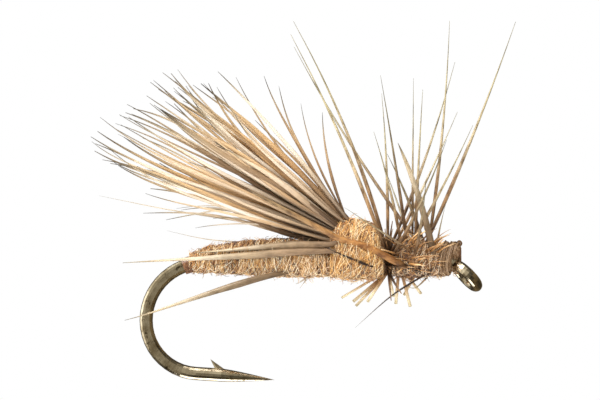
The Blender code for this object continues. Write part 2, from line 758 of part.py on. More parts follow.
def build_collar():
    """The fat dubbed shoulder over the wing's tie-in, hollowed for the thread band and for the bunch."""
    sizes_at = dubbed(COLLAR_OUTLINE, COLLAR_LENGTH)
    bore = THREAD_R + CLEAR
    sizes = (sizes_at, bore, "golden_dubbing", COLLAR_RINGS, DUBBING_SIDES)
    collar = sleeve("collar_dubbing", COLLAR_AT, COLLAR_LENGTH, *sizes)
    pocket = bmesh.new()
    around = CLEAR + THREAD_TURN
    rings = [
        [pocket.verts.new(p) for p in tie_in_ring(distance, around, WRAP_SIDES)]
        for distance in (WING_AT - CLEAR, WING_AT + WING_WRAP_TURNS * THREAD_TURN + CLEAR)
    ]
    bridge(pocket, rings[0], rings[1])
    close_end(pocket, rings[0][::-1], None)
    close_end(pocket, rings[1], None)
    cutter = new_object("thread_pocket", mesh_of("thread_pocket", pocket), "golden_dubbing")
    boolean(collar, cutter, "DIFFERENCE")
    tunnel = bmesh.new()
    points = bunch_line(0, 0, TUNNEL_STEPS)
    points.insert(0, points[0] + Vector((CLEAR, 0, 0)))
    points.append(points[-1] + (points[-1] - points[-2]).normalized() * BUNCH_R)
    radii = [BUNCH_R + CLEAR + TUNNEL_WIDENS * k / len(points) for k in range(len(points))]
    tube(tunnel, points, radii, WRAP_SIDES)
    cutter = new_object("wing_tunnel", mesh_of("wing_tunnel", tunnel), "golden_dubbing")
    boolean(collar, cutter, "DIFFERENCE")
    return collar


# ---- the wing -----------------------------------------------------------------------------------
def bunch_line(across, above, count):
    """A line through the bunch, offset from its middle: flat on the shank, then rising to the wing's line."""
    front = WIRE.at(WING_AT - 2 * CLEAR)[0] + Vector((0, 0, BUNCH_HEIGHT))
    path = PlanePath(front, math.pi)
    path.line(TIE_IN_RUN)
    path.arc(WING_BEND_R, WING_RISE)
    path.line(WING_STUB)
    # The arc turns left, which from a heading of -X is down, so the line is mirrored in its starting height.
    found = []
    for distance in spread(0, path.length, count):
        place, ahead, up = path.at(distance)
        place = place + up * -above + Vector((0, across, 0))
        found.append(Vector((place.x, place.y, 2 * front.z - place.z)))
    return found


def wing_hair(bm, foot, across, above, length_share):
    """One hair from the end of its lock. Its place in the bunch sets its place in the fan."""
    steepness = above / BUNCH_R
    rise = WING_RISE + WING_FAN_UP * steepness
    side = WING_FAN_SIDE * across / BUNCH_R
    length = (WING_LENGTH - WING_SHORTENED * ((1 + steepness) / 2) ** 2) * length_share
    ahead = Vector((-math.cos(rise) * math.cos(side), math.sin(side), math.sin(rise) * math.cos(side)))
    sag = Vector((0, 0, -WING_SAG * length))
    points = [foot + ahead * length * t + sag * t**2 for t, _ in WING_HAIR_SHAPE]
    points[0] = foot - ahead * WING_HAIR_SUNK
    radii = [WING_HAIR_R * size for _, size in WING_HAIR_SHAPE]
    tube(bm, points, radii, HAIR_SIDES, end_apex=foot + ahead * length + sag)


def build_wing(random_source):
    """Seven locks side by side in the bunch, each a bound foot with its hairs fanning out of it."""
    places = [(0.0, 0.0)]
    for k in range(LOCK_RING):
        angle = 2 * math.pi * (k + 0.5) / LOCK_RING
        places.append((LOCK_PITCH * math.sin(angle), LOCK_PITCH * math.cos(angle)))
    for number, (across, above) in enumerate(places):
        name = "wing_lock_core" if number == 0 else f"wing_lock_{number}"
        foot_line = bunch_line(across, above, LOCK_STEPS)
        bm = bmesh.new()
        tube(bm, foot_line, [LOCK_R] * LOCK_STEPS, LOCK_SIDES)
        lock = new_object(name, mesh_of(name, bm), "wing_hair", foot_line[0])
        for k in range(LOCK_HAIRS):
            angle = 2 * math.pi * k / (LOCK_HAIRS - 1)
            out = 0.0 if k == LOCK_HAIRS - 1 else LOCK_HAIR_RING
            sideways, upward = out * math.sin(angle), out * math.cos(angle)
            foot = bunch_line(across + sideways, above + upward, LOCK_STEPS)[-1]
            length_share = 1 + random_source.uniform(-1, 1) * WING_LENGTH_SPREAD
            hair = bmesh.new()
            wing_hair(hair, foot, across + sideways, above + upward, length_share)
            mesh = mesh_of(f"{name}_hair_{k}", hair)
            boolean(lock, new_object(f"{name}_hair_{k}", mesh, "wing_hair", foot), "UNION")


# ---- single hairs -------------------------------------------------------------------------------
def upright_hair(length, bend, root_r, end_r, steps):
    """A hair along +Z from its root, whose tip bends towards +X."""
    bm = bmesh.new()
    points, radii = [], []
    for k in range(steps + 1):
        t = k / steps
        points.append(Vector((bend * t * t, 0, length * t)))
        radii.append(root_r + (end_r - root_r) * t**HAIR_TAPER)
    tube(bm, points, radii, HAIR_SIDES)
    return bm


def hair_distance(where):
    """Distance along the wire of a hair's root."""
    if where == "lane":
        return LANE_AT
    return THORAX_AT + THORAX_HAIR_INSET + where * (THORAX_LENGTH - 2 * THORAX_HAIR_INSET)


def stand_on_thread(where, clock, lean, splay, root_r):
    """The matrix that stands a hair on the thread base, leaning to the front and splaying to the far side."""
    ahead = Vector((math.sin(lean) * math.cos(splay), math.sin(splay), math.cos(lean) * math.cos(splay)))
    front = Vector((1, 0, 0))
    front = (front - ahead * front.dot(ahead)).normalized()
    turn = Matrix((front, ahead.cross(front), ahead)).transposed().to_4x4()
    root = at_clock(hair_distance(where), clock, THREAD_R + ROOT_DEPTH_CLEAR + root_r)
    return Matrix.Translation(root) @ turn


def standing_hair(name, where, clock, lean, splay, length, bend, root_r, end_r, finish, steps):
    """Makes the hair, and returns the cutter of the space it takes in what it stands through."""
    place = stand_on_thread(where, math.radians(clock), math.radians(lean), math.radians(splay), root_r)
    bm = upright_hair(length, bend, root_r, end_r, steps)
    obj = new_object(name, mesh_of(name, bm), finish)
    obj.matrix_world = place
    hole = bmesh.new()
    reach = min(length, HOLE_REACH)
    below = Vector((0, 0, -ROOT_DEPTH_CLEAR))
    top = Vector((bend * (reach / length) ** 2, 0, reach))
    tube(hole, [below, top], [root_r + CLEAR] * 2, HAIR_SIDES + 1)
    cutter = new_object(f"{name}_hole", mesh_of(f"{name}_hole", hole), finish, smooth=False)
    cutter.matrix_world = place
    return cutter


def build_standing_hairs():
    """The long hackle hairs above and the clipped butts below. Returns the cutters of their holes."""
    cutters = []
    for number, (where, clock, lean, splay, length, bend, root_r) in enumerate(HACKLE, 1):
        name = f"hackle_hair_{number:02d}"
        sizes = (length * MM, bend * MM, root_r * MM, HAIR_TIP_R)
        cutters.append(standing_hair(name, where, clock, lean, splay, *sizes, "hackle_hair", HAIR_STEPS))
    for number, (where, clock, lean, splay, length, root_r) in enumerate(BUTTS, 1):
        name = f"clipped_butt_{number:02d}"
        sizes = (length * MM, 0.0, root_r * MM, BUTT_END * root_r * MM)
        cutters.append(standing_hair(name, where, clock, lean, splay, *sizes, "butt_hair", BUTT_STEPS))
    return cutters


def body_radius(back, clock):
    """How far the dubbing stands off the shank's axis, at a distance back from the eye's centre."""
    distance = back + WIRE.at(NECK_TO_SHANK)[0].x + NECK_TO_SHANK
    bodies = (
        (THORAX_AT, THORAX_LENGTH, THORAX_OUTLINE),
        (COLLAR_AT, COLLAR_LENGTH, COLLAR_OUTLINE),
        (ABDOMEN_AT, ABDOMEN_END - ABDOMEN_AT, ABDOMEN_OUTLINE),
    )
    for start, length, rows in reversed(bodies):
        if distance >= start:
            break
    return radius_at(outline_at(rows, (distance - start) / length), clock)


def laid_line(route):
    """The middle of a laid hair, from its root."""
    points = []
    for back, clock, off in route:
        clock = math.radians(clock)
        radius = body_radius(back * MM, clock) + off * MM
        points.append(Vector((-back * MM, radius * math.sin(clock), SHANK_HEIGHT + radius * math.cos(clock))))
    return spline(points, LAID_STEPS)


def build_laid_hairs():
    """The hairs that lie along the fly. Returns the cutters of the beds and sockets that hold them."""
    cutters = []
    for name, (root_r, route) in LAID.items():
        points = laid_line(route)
        radii = []
        for k in range(len(points)):
            t = k / (len(points) - 1)
            swell = LAID_ROOT + (1 - LAID_ROOT) * min(1, t / LAID_ROOT_RUN)
            radii.append(HAIR_TIP_R + (root_r * MM - HAIR_TIP_R) * (1 - t) ** LAID_TAPER * swell)
        bm = bmesh.new()
        tube(bm, points, radii, HAIR_SIDES + 1)
        new_object(name, mesh_of(name, bm), "pale_hair", points[0])
        bed = bmesh.new()
        points[0] = points[0] + (points[0] - points[1]).normalized() * ROOT_DEPTH_CLEAR
        tube(bed, points, [radius + CLEAR for radius in radii], HAIR_SIDES + 1)
        mesh = mesh_of(f"{name}_bed", bed)
        cutters.append(new_object(f"{name}_bed", mesh, "pale_hair", points[0], smooth=False))
    return cutters


def world_box(obj):
    corners = [obj.matrix_world @ Vector(corner) for corner in obj.bound_box]
    return [min(axis) for axis in zip(*corners)], [max(axis) for axis in zip(*corners)]


def make_room(bodies, cutters):
    """Opens the dubbing and the thread bands where a hair stands or lies in them."""
    bpy.context.view_layer.update()
    for body in bodies:
        low, high = world_box(body)
        for cutter in cutters:
            first, last = world_box(cutter)
            if all(a <= b and c <= d for a, b, c, d in zip(first, high, low, last)):
                boolean(body, cutter, "DIFFERENCE")


# ---- assembly -----------------------------------------------------------------------------------
def build():
    for obj in list(bpy.data.objects):
        bpy.data.objects.remove(obj)
    origin = bpy.data.objects.new("dry_fly", None)
    bpy.context.scene.collection.objects.link(origin)
    build_hook()
    build_thread_base()
    build_head()
    build_wing_wraps()
    build_wing(random.Random(SEED))
    bodies = [
        build_wrap_band("hackle_thread_front", FRONT_BAND_AT),
        build_wrap_band("hackle_thread_rear", REAR_BAND_AT),
        build_thorax(),
        build_collar(),
        build_abdomen(),
    ]
    make_room(bodies, build_standing_hairs() + build_laid_hairs())
    bpy.context.view_layer.update()


build()
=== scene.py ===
"""Looks of a dry fly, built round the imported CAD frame: bronzed hook, dubbed bodies, thread and hair."""

import math

import bpy
import numpy as np
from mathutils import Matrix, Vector
from mathutils.bvhtree import BVHTree


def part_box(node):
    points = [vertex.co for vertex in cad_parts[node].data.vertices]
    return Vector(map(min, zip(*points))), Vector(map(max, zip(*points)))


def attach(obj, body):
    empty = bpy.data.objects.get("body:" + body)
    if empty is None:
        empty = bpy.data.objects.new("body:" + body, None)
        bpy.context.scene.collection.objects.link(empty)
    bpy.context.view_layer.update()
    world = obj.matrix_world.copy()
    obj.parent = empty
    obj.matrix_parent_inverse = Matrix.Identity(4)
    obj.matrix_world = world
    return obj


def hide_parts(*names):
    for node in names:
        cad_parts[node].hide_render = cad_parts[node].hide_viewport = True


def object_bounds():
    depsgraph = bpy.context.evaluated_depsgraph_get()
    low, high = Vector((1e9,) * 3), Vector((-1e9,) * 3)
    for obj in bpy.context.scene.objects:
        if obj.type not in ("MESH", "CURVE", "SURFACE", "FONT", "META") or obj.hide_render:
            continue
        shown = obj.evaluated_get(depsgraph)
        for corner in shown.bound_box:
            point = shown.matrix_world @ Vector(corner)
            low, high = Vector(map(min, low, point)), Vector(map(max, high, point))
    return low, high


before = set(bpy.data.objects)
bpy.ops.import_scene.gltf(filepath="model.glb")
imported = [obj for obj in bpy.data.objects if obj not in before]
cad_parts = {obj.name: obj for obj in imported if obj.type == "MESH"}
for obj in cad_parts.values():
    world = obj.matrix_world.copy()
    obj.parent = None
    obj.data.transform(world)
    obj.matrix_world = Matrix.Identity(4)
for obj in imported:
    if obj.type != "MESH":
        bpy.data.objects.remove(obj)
cad_low, cad_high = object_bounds()
random = np.random.default_rng(21)

MM = 0.001
MAP = "OFBake"  # every strand's map: U runs along the strand, V is its shade
SHADES = 64  # rows of the map, each one shade
BLACK, WHITE = (0, 0, 0), (255, 255, 255)

# ---------------------------------------------------------------- camera
VIEW_WIDTH = 27.97 * MM
VIEW_CENTRE_X = -7.76 * MM
VIEW_CENTRE_Z = 3.54 * MM
LENS = 400  # millimetres, as the sensor's width
SENSOR = 36
SOFT_LEVEL = 0.72  # of the soft light all round


def linear(red, green, blue):
    """An 8-bit screen colour as linear RGBA."""
    shares = (red / 255, green / 255, blue / 255)
    return tuple(c / 12.92 if c <= 0.04045 else ((c + 0.055) / 1.055) ** 2.4 for c in shares) + (1.0,)


# ---------------------------------------------------------------- node helpers
def node(tree, kind, **settings):
    made = tree.nodes.new("ShaderNode" + kind)
    for key, value in settings.items():
        setattr(made, key, value)
    return made


def feed(tree, socket, value):
    """Links an output, or sets a plain value."""
    if isinstance(value, bpy.types.NodeSocket):
        tree.links.new(value, socket)
    else:
        socket.default_value = value


def maths(tree, operation, first, second, clamp=False):
    made = node(tree, "Math", operation=operation, use_clamp=clamp)
    feed(tree, made.inputs[0], first)
    feed(tree, made.inputs[1], second)
    return made.outputs[0]


def ramp(tree, value, stops):
    """A colour ramp through (place, screen colour) stops."""
    made = node(tree, "ValToRGB")
    elements = made.color_ramp.elements
    while len(elements) < len(stops):
        elements.new(0.5)
    for element, (place, colour) in zip(elements, stops):
        element.position = place
        element.color = linear(*colour)
    feed(tree, made.inputs[0], value)
    return made.outputs[0]


def mixed(tree, share, first, second, blend="MIX"):
    made = node(tree, "Mix", data_type="RGBA", blend_type=blend)
    feed(tree, made.inputs[0], share)
    feed(tree, made.inputs[6], first)
    feed(tree, made.inputs[7], second)
    return made.outputs[2]


def noise(tree, vector, scale, detail=2.0, rough=0.5):
    made = node(tree, "TexNoise")
    tree.links.new(vector, made.inputs["Vector"])
    made.inputs["Scale"].default_value = scale
    made.inputs["Detail"].default_value = detail
    made.inputs["Roughness"].default_value = rough
    return made.outputs[0]


def bump(tree, height, strength, distance):
    made = node(tree, "Bump")
    tree.links.new(height, made.inputs["Height"])
    made.inputs["Strength"].default_value = strength
    made.inputs["Distance"].default_value = distance
    return made.outputs[0]


def combine(tree, x, y):
    made = node(tree, "CombineXYZ")
    feed(tree, made.inputs[0], x)
    feed(tree, made.inputs[1], y)
    return made.outputs[0]


def new_material(name):
    material = bpy.data.materials.new(name)
    material.use_nodes = True
    return material, material.node_tree, material.node_tree.nodes["Principled BSDF"]


def strand_places(tree):
    """How far along the strand, and its shade."""
    place = node(tree, "UVMap", uv_map=MAP)
    split = node(tree, "SeparateXYZ")
    tree.links.new(place.outputs[0], split.inputs[0])
    return split.outputs[0], split.outputs[1]


def strand_noise(tree, along, shade, along_scale, shade_scale, detail=2.0, rough=0.5):
    """Noise that runs along each strand and differs from one shade to the next."""
    x, y = maths(tree, "MULTIPLY", along, along_scale), maths(tree, "MULTIPLY", shade, shade_scale)
    return noise(tree, combine(tree, x, y), 1.0, detail, rough)


def shifted_by(tree, value, wander, reach, clamp=False):
    """A value moved up or down by noise, by at most half of reach."""
    move = maths(tree, "MULTIPLY", maths(tree, "SUBTRACT", wander, 0.5), reach)
    return maths(tree, "ADD", value, move, clamp)


def strand_finish(
    name, dark, pale, roughness, mottle=0.0, mottle_scale=9.0, coat=0.0, spread=0.12, middle=None
):
    """A hair's colour along its length, from a dark kind of hair, through a middle kind, to a pale kind."""
    material, tree, shader = new_material(name)
    along, shade = strand_places(tree)
    shifted = shifted_by(tree, along, strand_noise(tree, along, shade, 3.0, 97.0), spread * 2)
    if middle is None:
        colour = mixed(tree, shade, ramp(tree, shifted, dark), ramp(tree, shifted, pale))
    else:
        lower = maths(tree, "MULTIPLY", shade, 2.0, clamp=True)
        upper = maths(tree, "MULTIPLY", maths(tree, "SUBTRACT", shade, 0.5, clamp=True), 2.0, clamp=True)
        colour = mixed(tree, lower, ramp(tree, shifted, dark), ramp(tree, shifted, middle))
        colour = mixed(tree, upper, colour, ramp(tree, shifted, pale))
    if mottle:
        patches = strand_noise(tree, along, shade, mottle_scale, 211.0, 4.0, 0.65)
        share = maths(tree, "MULTIPLY", ramp(tree, patches, ((0.42, BLACK), (0.62, WHITE))), mottle)
        colour = mixed(tree, share, colour, ramp(tree, along, dark), "MULTIPLY")
    tree.links.new(colour, shader.inputs["Base Color"])
    grain = strand_noise(tree, along, shade, 60.0, 900.0, 3.0)
    tree.links.new(bump(tree, grain, 0.25, 0.01 * MM), shader.inputs["Normal"])
    shader.inputs["Roughness"].default_value = roughness
    shader.inputs["Specular IOR Level"].default_value = 0.5
    shader.inputs["Coat Weight"].default_value = coat
    shader.inputs["Coat Roughness"].default_value = 0.25
    return material


def fibre_finish(name, shades, roughness=0.55, sheen=0.25):
    """Dubbing fibre or thread: each strand's own shade, a little uneven along it."""
    material, tree, shader = new_material(name)
    along, shade = strand_places(tree)
    value = shifted_by(tree, shade, strand_noise(tree, along, shade, 5.0, 163.0), 0.35, clamp=True)
    tree.links.new(ramp(tree, value, shades), shader.inputs["Base Color"])
    shader.inputs["Roughness"].default_value = roughness
    shader.inputs["Sheen Weight"].default_value = sheen
    shader.inputs["Sheen Roughness"].default_value = 0.5
    return material


# ---------------------------------------------------------------- finishes
WING_DARK = (
    (0.0, (80, 62, 46)),
    (0.2, (96, 75, 55)),
    (0.38, (128, 102, 75)),
    (0.6, (158, 132, 101)),
    (0.82, (148, 128, 100)),
    (0.93, (88, 78, 60)),
    (1.0, (40, 36, 30)),
)
WING_GOLD = (
    (0.0, (106, 80, 55)),
    (0.18, (142, 111, 78)),
    (0.34, (182, 143, 97)),
    (0.6, (204, 168, 119)),
    (0.82, (176, 150, 113)),
    (0.93, (98, 84, 64)),
    (1.0, (40, 37, 30)),
)
WING_PALE = (
    (0.0, (138, 120, 99)),
    (0.18, (164, 144, 120)),
    (0.34, (204, 188, 163)),
    (0.5, (232, 223, 207)),
    (0.74, (224, 212, 191)),
    (0.87, (168, 153, 126)),
    (0.95, (88, 79, 62)),
    (1.0, (42, 39, 32)),
)
HACKLE_DARK = (
    (0.0, (52, 32, 20)),
    (0.25, (96, 68, 42)),
    (0.50, (120, 100, 70)),
    (0.75, (104, 96, 70)),
    (1.0, (96, 88, 64)),
)
HACKLE_PALE = (
    (0.0, (110, 74, 44)),
    (0.25, (190, 150, 104)),
    (0.50, (226, 208, 168)),
    (0.75, (206, 190, 144)),
    (1.0, (150, 138, 100)),
)
PALE_DARK = (
    (0.0, (96, 74, 52)),
    (0.3, (112, 92, 66)),
    (0.5, (128, 110, 84)),
    (0.7, (176, 158, 128)),
    (0.85, (170, 152, 120)),
    (1.0, (84, 76, 60)),
)
PALE_PALE = (
    (0.0, (132, 104, 76)),
    (0.25, (152, 124, 94)),
    (0.48, (176, 152, 120)),
    (0.68, (220, 206, 182)),
    (0.85, (196, 178, 146)),
    (1.0, (112, 104, 84)),
)
BASE_DARK = ((0.0, (20, 12, 8)), (0.5, (48, 30, 18)), (1.0, (110, 76, 46)))
BASE_PALE = ((0.0, (60, 38, 22)), (0.5, (120, 84, 50)), (1.0, (200, 164, 116)))
STUB_DARK = ((0.0, (66, 40, 20)), (0.5, (118, 76, 40)), (1.0, (150, 108, 62)))
STUB_PALE = ((0.0, (140, 94, 50)), (0.5, (196, 144, 84)), (1.0, (232, 198, 148)))
BUTT_DARK = ((0.0, (52, 32, 18)), (0.4, (120, 84, 52)), (0.8, (170, 144, 104)), (1.0, (120, 104, 76)))
BUTT_PALE = ((0.0, (120, 80, 48)), (0.4, (190, 150, 104)), (0.8, (232, 218, 182)), (1.0, (206, 190, 150)))
BLACK_DARK = ((0.0, (34, 22, 16)), (0.5, (44, 32, 24)), (1.0, (70, 56, 44)))
BLACK_PALE = ((0.0, (60, 44, 32)), (0.5, (84, 66, 50)), (1.0, (110, 92, 72)))
ORANGE_DARK = (
    (0.0, (60, 40, 22)),
    (0.08, (108, 72, 36)),
    (0.3, (128, 86, 44)),
    (0.8, (116, 92, 62)),
    (1.0, (86, 70, 50)),
)
ORANGE_PALE = (
    (0.0, (92, 62, 32)),
    (0.08, (168, 114, 56)),
    (0.3, (190, 134, 70)),
    (0.8, (176, 146, 104)),
    (1.0, (120, 100, 74)),
)
GOLD_SHADES = (
    (0.0, (66, 36, 14)),
    (0.25, (136, 82, 34)),
    (0.5, (194, 134, 56)),
    (0.75, (226, 174, 92)),
    (1.0, (250, 232, 190)),
)
ABDOMEN_SHADES = (
    (0.0, (56, 32, 16)),
    (0.25, (122, 76, 38)),
    (0.5, (184, 128, 64)),
    (0.75, (220, 174, 104)),
    (1.0, (250, 236, 204)),
)
RUST_SHADES = (
    (0.0, (38, 20, 10)),
    (0.25, (92, 56, 30)),
    (0.5, (148, 98, 52)),
    (0.75, (194, 144, 84)),
    (1.0, (244, 222, 186)),
)
THREAD_SHADES = ((0.0, (47, 32, 20)), (0.5, (104, 76, 50)), (1.0, (171, 144, 114)))
TAN_SHADES = ((0.0, (84, 66, 46)), (0.5, (140, 118, 88)), (1.0, (196, 178, 144)))
BRONZE_SHADES = (
    (0.30, (164, 148, 118)),
    (0.45, (208, 195, 168)),
    (0.60, (234, 223, 198)),
    (0.78, (202, 174, 128)),
)


def hook_finish():
    """Bronzed wire with fine tarnished pits and a warmer bloom in patches."""
    material, tree, shader = new_material("hook_bronze")
    place = node(tree, "TexCoord").outputs["Object"]
    patches = noise(tree, place, 1500.0, 4.0, 0.6)
    clean = ramp(tree, patches, BRONZE_SHADES)
    tarnished = ramp(tree, patches, ((0.3, (84, 74, 56)), (0.7, (120, 104, 76))))
    pits = ramp(tree, noise(tree, place, 3600.0, 3.0, 0.6), ((0.30, BLACK), (0.42, WHITE)))
    tree.links.new(mixed(tree, pits, tarnished, clean), shader.inputs["Base Color"])
    fine = noise(tree, place, 5200.0, 4.0, 0.6)
    rough = ramp(tree, fine, ((0.30, (84, 84, 84)), (0.75, (150, 150, 150))))
    tree.links.new(maths(tree, "MULTIPLY", rough, 0.9), shader.inputs["Roughness"])
    rolling = bump(tree, noise(tree, place, 2000.0, 3.0), 0.35, 0.03 * MM)
    dents = bump(tree, pits, 0.25, 0.02 * MM)
    tree.links.new(rolling, dents.node.inputs["Normal"])
    tree.links.new(dents, shader.inputs["Normal"])
    shader.inputs["Metallic"].default_value = 1.0
    return material


def solid_finish(name, shades, roughness, scale):
    """Packed material under the strands, seen in the gaps between them."""
    material, tree, shader = new_material(name)
    place = node(tree, "TexCoord").outputs["Object"]
    mottling = noise(tree, place, scale, 4.0, 0.6)
    tree.links.new(ramp(tree, mottling, shades), shader.inputs["Base Color"])
    tree.links.new(bump(tree, mottling, 0.6, 0.03 * MM), shader.inputs["Normal"])
    shader.inputs["Roughness"].default_value = roughness
    return material


finish = {
    "hook": hook_finish(),
    "wing": strand_finish("wing_elk", WING_DARK, WING_PALE, 0.48, 0.25, coat=0.08, middle=WING_GOLD),
    "hackle": strand_finish("hackle_elk", HACKLE_DARK, HACKLE_PALE, 0.36, 0.75, 14.0, 0.2),
    "black": strand_finish("dark_elk", BLACK_DARK, BLACK_PALE, 0.35),
    "base": strand_finish("hackle_base_elk", BASE_DARK, BASE_PALE, 0.4),
    "stub": strand_finish("thorax_stub_elk", STUB_DARK, STUB_PALE, 0.4, 0.3),
    "butt": strand_finish("butt_elk", BUTT_DARK, BUTT_PALE, 0.4, 0.4, 5.0),
    "orange": strand_finish("orange_elk", ORANGE_DARK, ORANGE_PALE, 0.42, 0.7, 16.0, 0.1, 0.05),
    "pale": strand_finish("pale_elk", PALE_DARK, PALE_PALE, 0.38, 0.45, 12.0, 0.15, 0.05),
    "gold": fibre_finish("golden_fibre", GOLD_SHADES),
    "abdomen": fibre_finish("abdomen_fibre", ABDOMEN_SHADES),
    "rust": fibre_finish("rust_fibre", RUST_SHADES),
    "thread": fibre_finish("brown_thread_wrap", THREAD_SHADES, 0.22, 0.0),
    "tan_thread": fibre_finish("tan_thread_wrap", TAN_SHADES, 0.35, 0.0),
}
for key, name, dark, light, roughness, scale in (
    ("gold_core", "golden_packed", (74, 44, 20), (140, 92, 44), 0.8, 6000.0),
    ("abdomen_core", "abdomen_packed", (58, 36, 18), (116, 78, 42), 0.8, 6000.0),
    ("rust_core", "rust_packed", (34, 18, 10), (88, 54, 32), 0.8, 6000.0),
    ("thread_core", "brown_thread_packed", (58, 34, 20), (128, 88, 58), 0.35, 9000.0),
    ("tan_core", "tan_thread_packed", (92, 74, 50), (150, 128, 96), 0.45, 9000.0),
):
    finish[key] = solid_finish(name, ((0.3, dark), (0.7, light)), roughness, scale)


# ---------------------------------------------------------------- strands
def unit(vectors):
    return vectors / np.maximum(np.linalg.norm(vectors, axis=-1, keepdims=True), 1e-12)


def build_mesh(name, places, corners, starts, maps, material):
    mesh = bpy.data.meshes.new(name)
    mesh.vertices.add(len(places))
    mesh.vertices.foreach_set("co", places.astype(np.float32).ravel())
    mesh.loops.add(len(corners))
    mesh.loops.foreach_set("vertex_index", corners.astype(np.int32))
    mesh.polygons.add(len(starts))
    mesh.polygons.foreach_set("loop_start", starts.astype(np.int32))
    mesh.polygons.foreach_set("use_smooth", np.ones(len(starts), bool))
    layer = mesh.uv_layers.new(name=MAP)
    layer.uv.foreach_set("vector", maps.astype(np.float32).ravel())
    mesh.update(calc_edges=True)
    mesh.validate()
    mesh.materials.append(material)
    obj = bpy.data.objects.new(name, mesh)
    bpy.context.scene.collection.objects.link(obj)
    return obj


def strands(name, lines, radii, shades, material, sides=5, across=None, hollow=0.0):
    """One mesh of many tapered strands. lines is strands x points x 3, and radii is strands x points."""
    count, steps = radii.shape
    tangent = unit(np.gradient(lines, axis=1))
    if across is None:
        chord = unit(lines[:, -1] - lines[:, 0])
        across = np.cross(chord, np.where(np.abs(chord[:, 1:2]) < 0.8, (0.0, 1.0, 0.0), (1.0, 0.0, 0.0)))
    across = np.broadcast_to(np.asarray(across, float), (count, 3))[:, None, :]
    first = unit(across - (across * tangent).sum(-1, keepdims=True) * tangent)
    second = np.cross(tangent, first)
    along = np.broadcast_to(np.linspace(0, 1, steps), (count, steps))
    if hollow:
        rim, deep = lines[:, -1:], lines[:, -1:] - tangent[:, -1:] * hollow
        lines = np.concatenate([lines, rim, deep], 1)
        radii = np.concatenate([radii, radii[:, -1:] * 0.62, radii[:, -1:] * 0.5], 1)
        first, second = (np.concatenate([v, v[:, -1:], v[:, -1:]], 1) for v in (first, second))
        along = np.concatenate([along, along[:, -1:], along[:, -1:] * 0], 1)
        steps += 2
    angle = np.arange(sides) / sides * 2 * math.pi
    ring = np.cos(angle)[:, None] * first[:, :, None] + np.sin(angle)[:, None] * second[:, :, None]
    places = lines[:, :, None] + radii[:, :, None, None] * ring
    index = np.arange(count * steps * sides).reshape(count, steps, sides)
    after = np.roll(index, -1, axis=2)
    quads = np.stack([index[:, :-1], after[:, :-1], after[:, 1:], index[:, 1:]], -1).reshape(-1, 4)
    shade = (np.floor(np.clip(shades, 0, 0.999) * SHADES) + 0.5) / SHADES
    round_it = (np.arange(sides + 1) / sides - 0.5) * 0.7 / SHADES  # stays within the shade's own row
    u = np.broadcast_to(along[:, :, None], (count, steps, sides))
    v_here = np.broadcast_to(shade[:, None, None] + round_it[:-1], (count, steps, sides))
    v_next = np.broadcast_to(shade[:, None, None] + round_it[1:], (count, steps, sides))
    quad_maps = np.stack(
        [
            np.stack([u[:, :-1], v_here[:, :-1]], -1),
            np.stack([u[:, :-1], v_next[:, :-1]], -1),
            np.stack([u[:, 1:], v_next[:, 1:]], -1),
            np.stack([u[:, 1:], v_here[:, 1:]], -1),
        ],
        -2,
    ).reshape(-1, 2)
    caps = np.concatenate([index[:, 0, ::-1], index[:, -1]], 0)
    # A cap's corners are spread a little along the map, so that it has an area there.
    cap_u = np.concatenate([u[:, 0, ::-1] + 0.01, u[:, -1] - 0.01], 0)
    cap_v = np.concatenate([v_here[:, 0, ::-1], v_here[:, -1]], 0)
    cap_u = cap_u + 0.008 * np.cos(angle)[None, :]
    maps = np.concatenate([quad_maps, np.stack([cap_u, cap_v], -1).reshape(-1, 2)], 0)
    corners = np.concatenate([quads.ravel(), caps.ravel()])
    starts = np.concatenate([np.arange(len(quads)) * 4, len(quads) * 4 + np.arange(len(caps)) * sides])
    return build_mesh(name, places.reshape(-1, 3), corners, starts, maps, material)


def bezier(points, steps):
    """Quadratic or cubic curves for many strands at once: points is strands x 3 or 4 x 3."""
    t = np.linspace(0, 1, steps)[None, :, None]
    p = [points[:, i][:, None, :] for i in range(points.shape[1])]
    if len(p) == 3:
        return (1 - t) ** 2 * p[0] + 2 * t * (1 - t) * p[1] + t**2 * p[2]
    return (1 - t) ** 3 * p[0] + 3 * t * (1 - t) ** 2 * p[1] + 3 * t**2 * (1 - t) * p[2] + t**3 * p[3]


def hair_profile(t, swell, tip, drawn, root):
    """Share of a hair's greatest radius: slim at the root, full at swell, then drawn to a fine tip."""
    rise = root + (1 - root) * np.sin(np.minimum(t / swell, 1) * math.pi / 2)
    fall = np.clip((t - swell) / (1 - swell), 0, 1)
    return rise * ((1 - fall) ** drawn * (1 - tip) + tip)


WELD = 2e-3 * MM  # vertices closer than this are one
END_REACH = 0.19 * MM  # round a hair's end vertex, this takes in its end ring
SAME_SIZE = 0.012 * MM  # end rings closer in radius than this are told apart by height instead
FUSED = 2.2  # times the usual radius: a level this wide isn't one ring


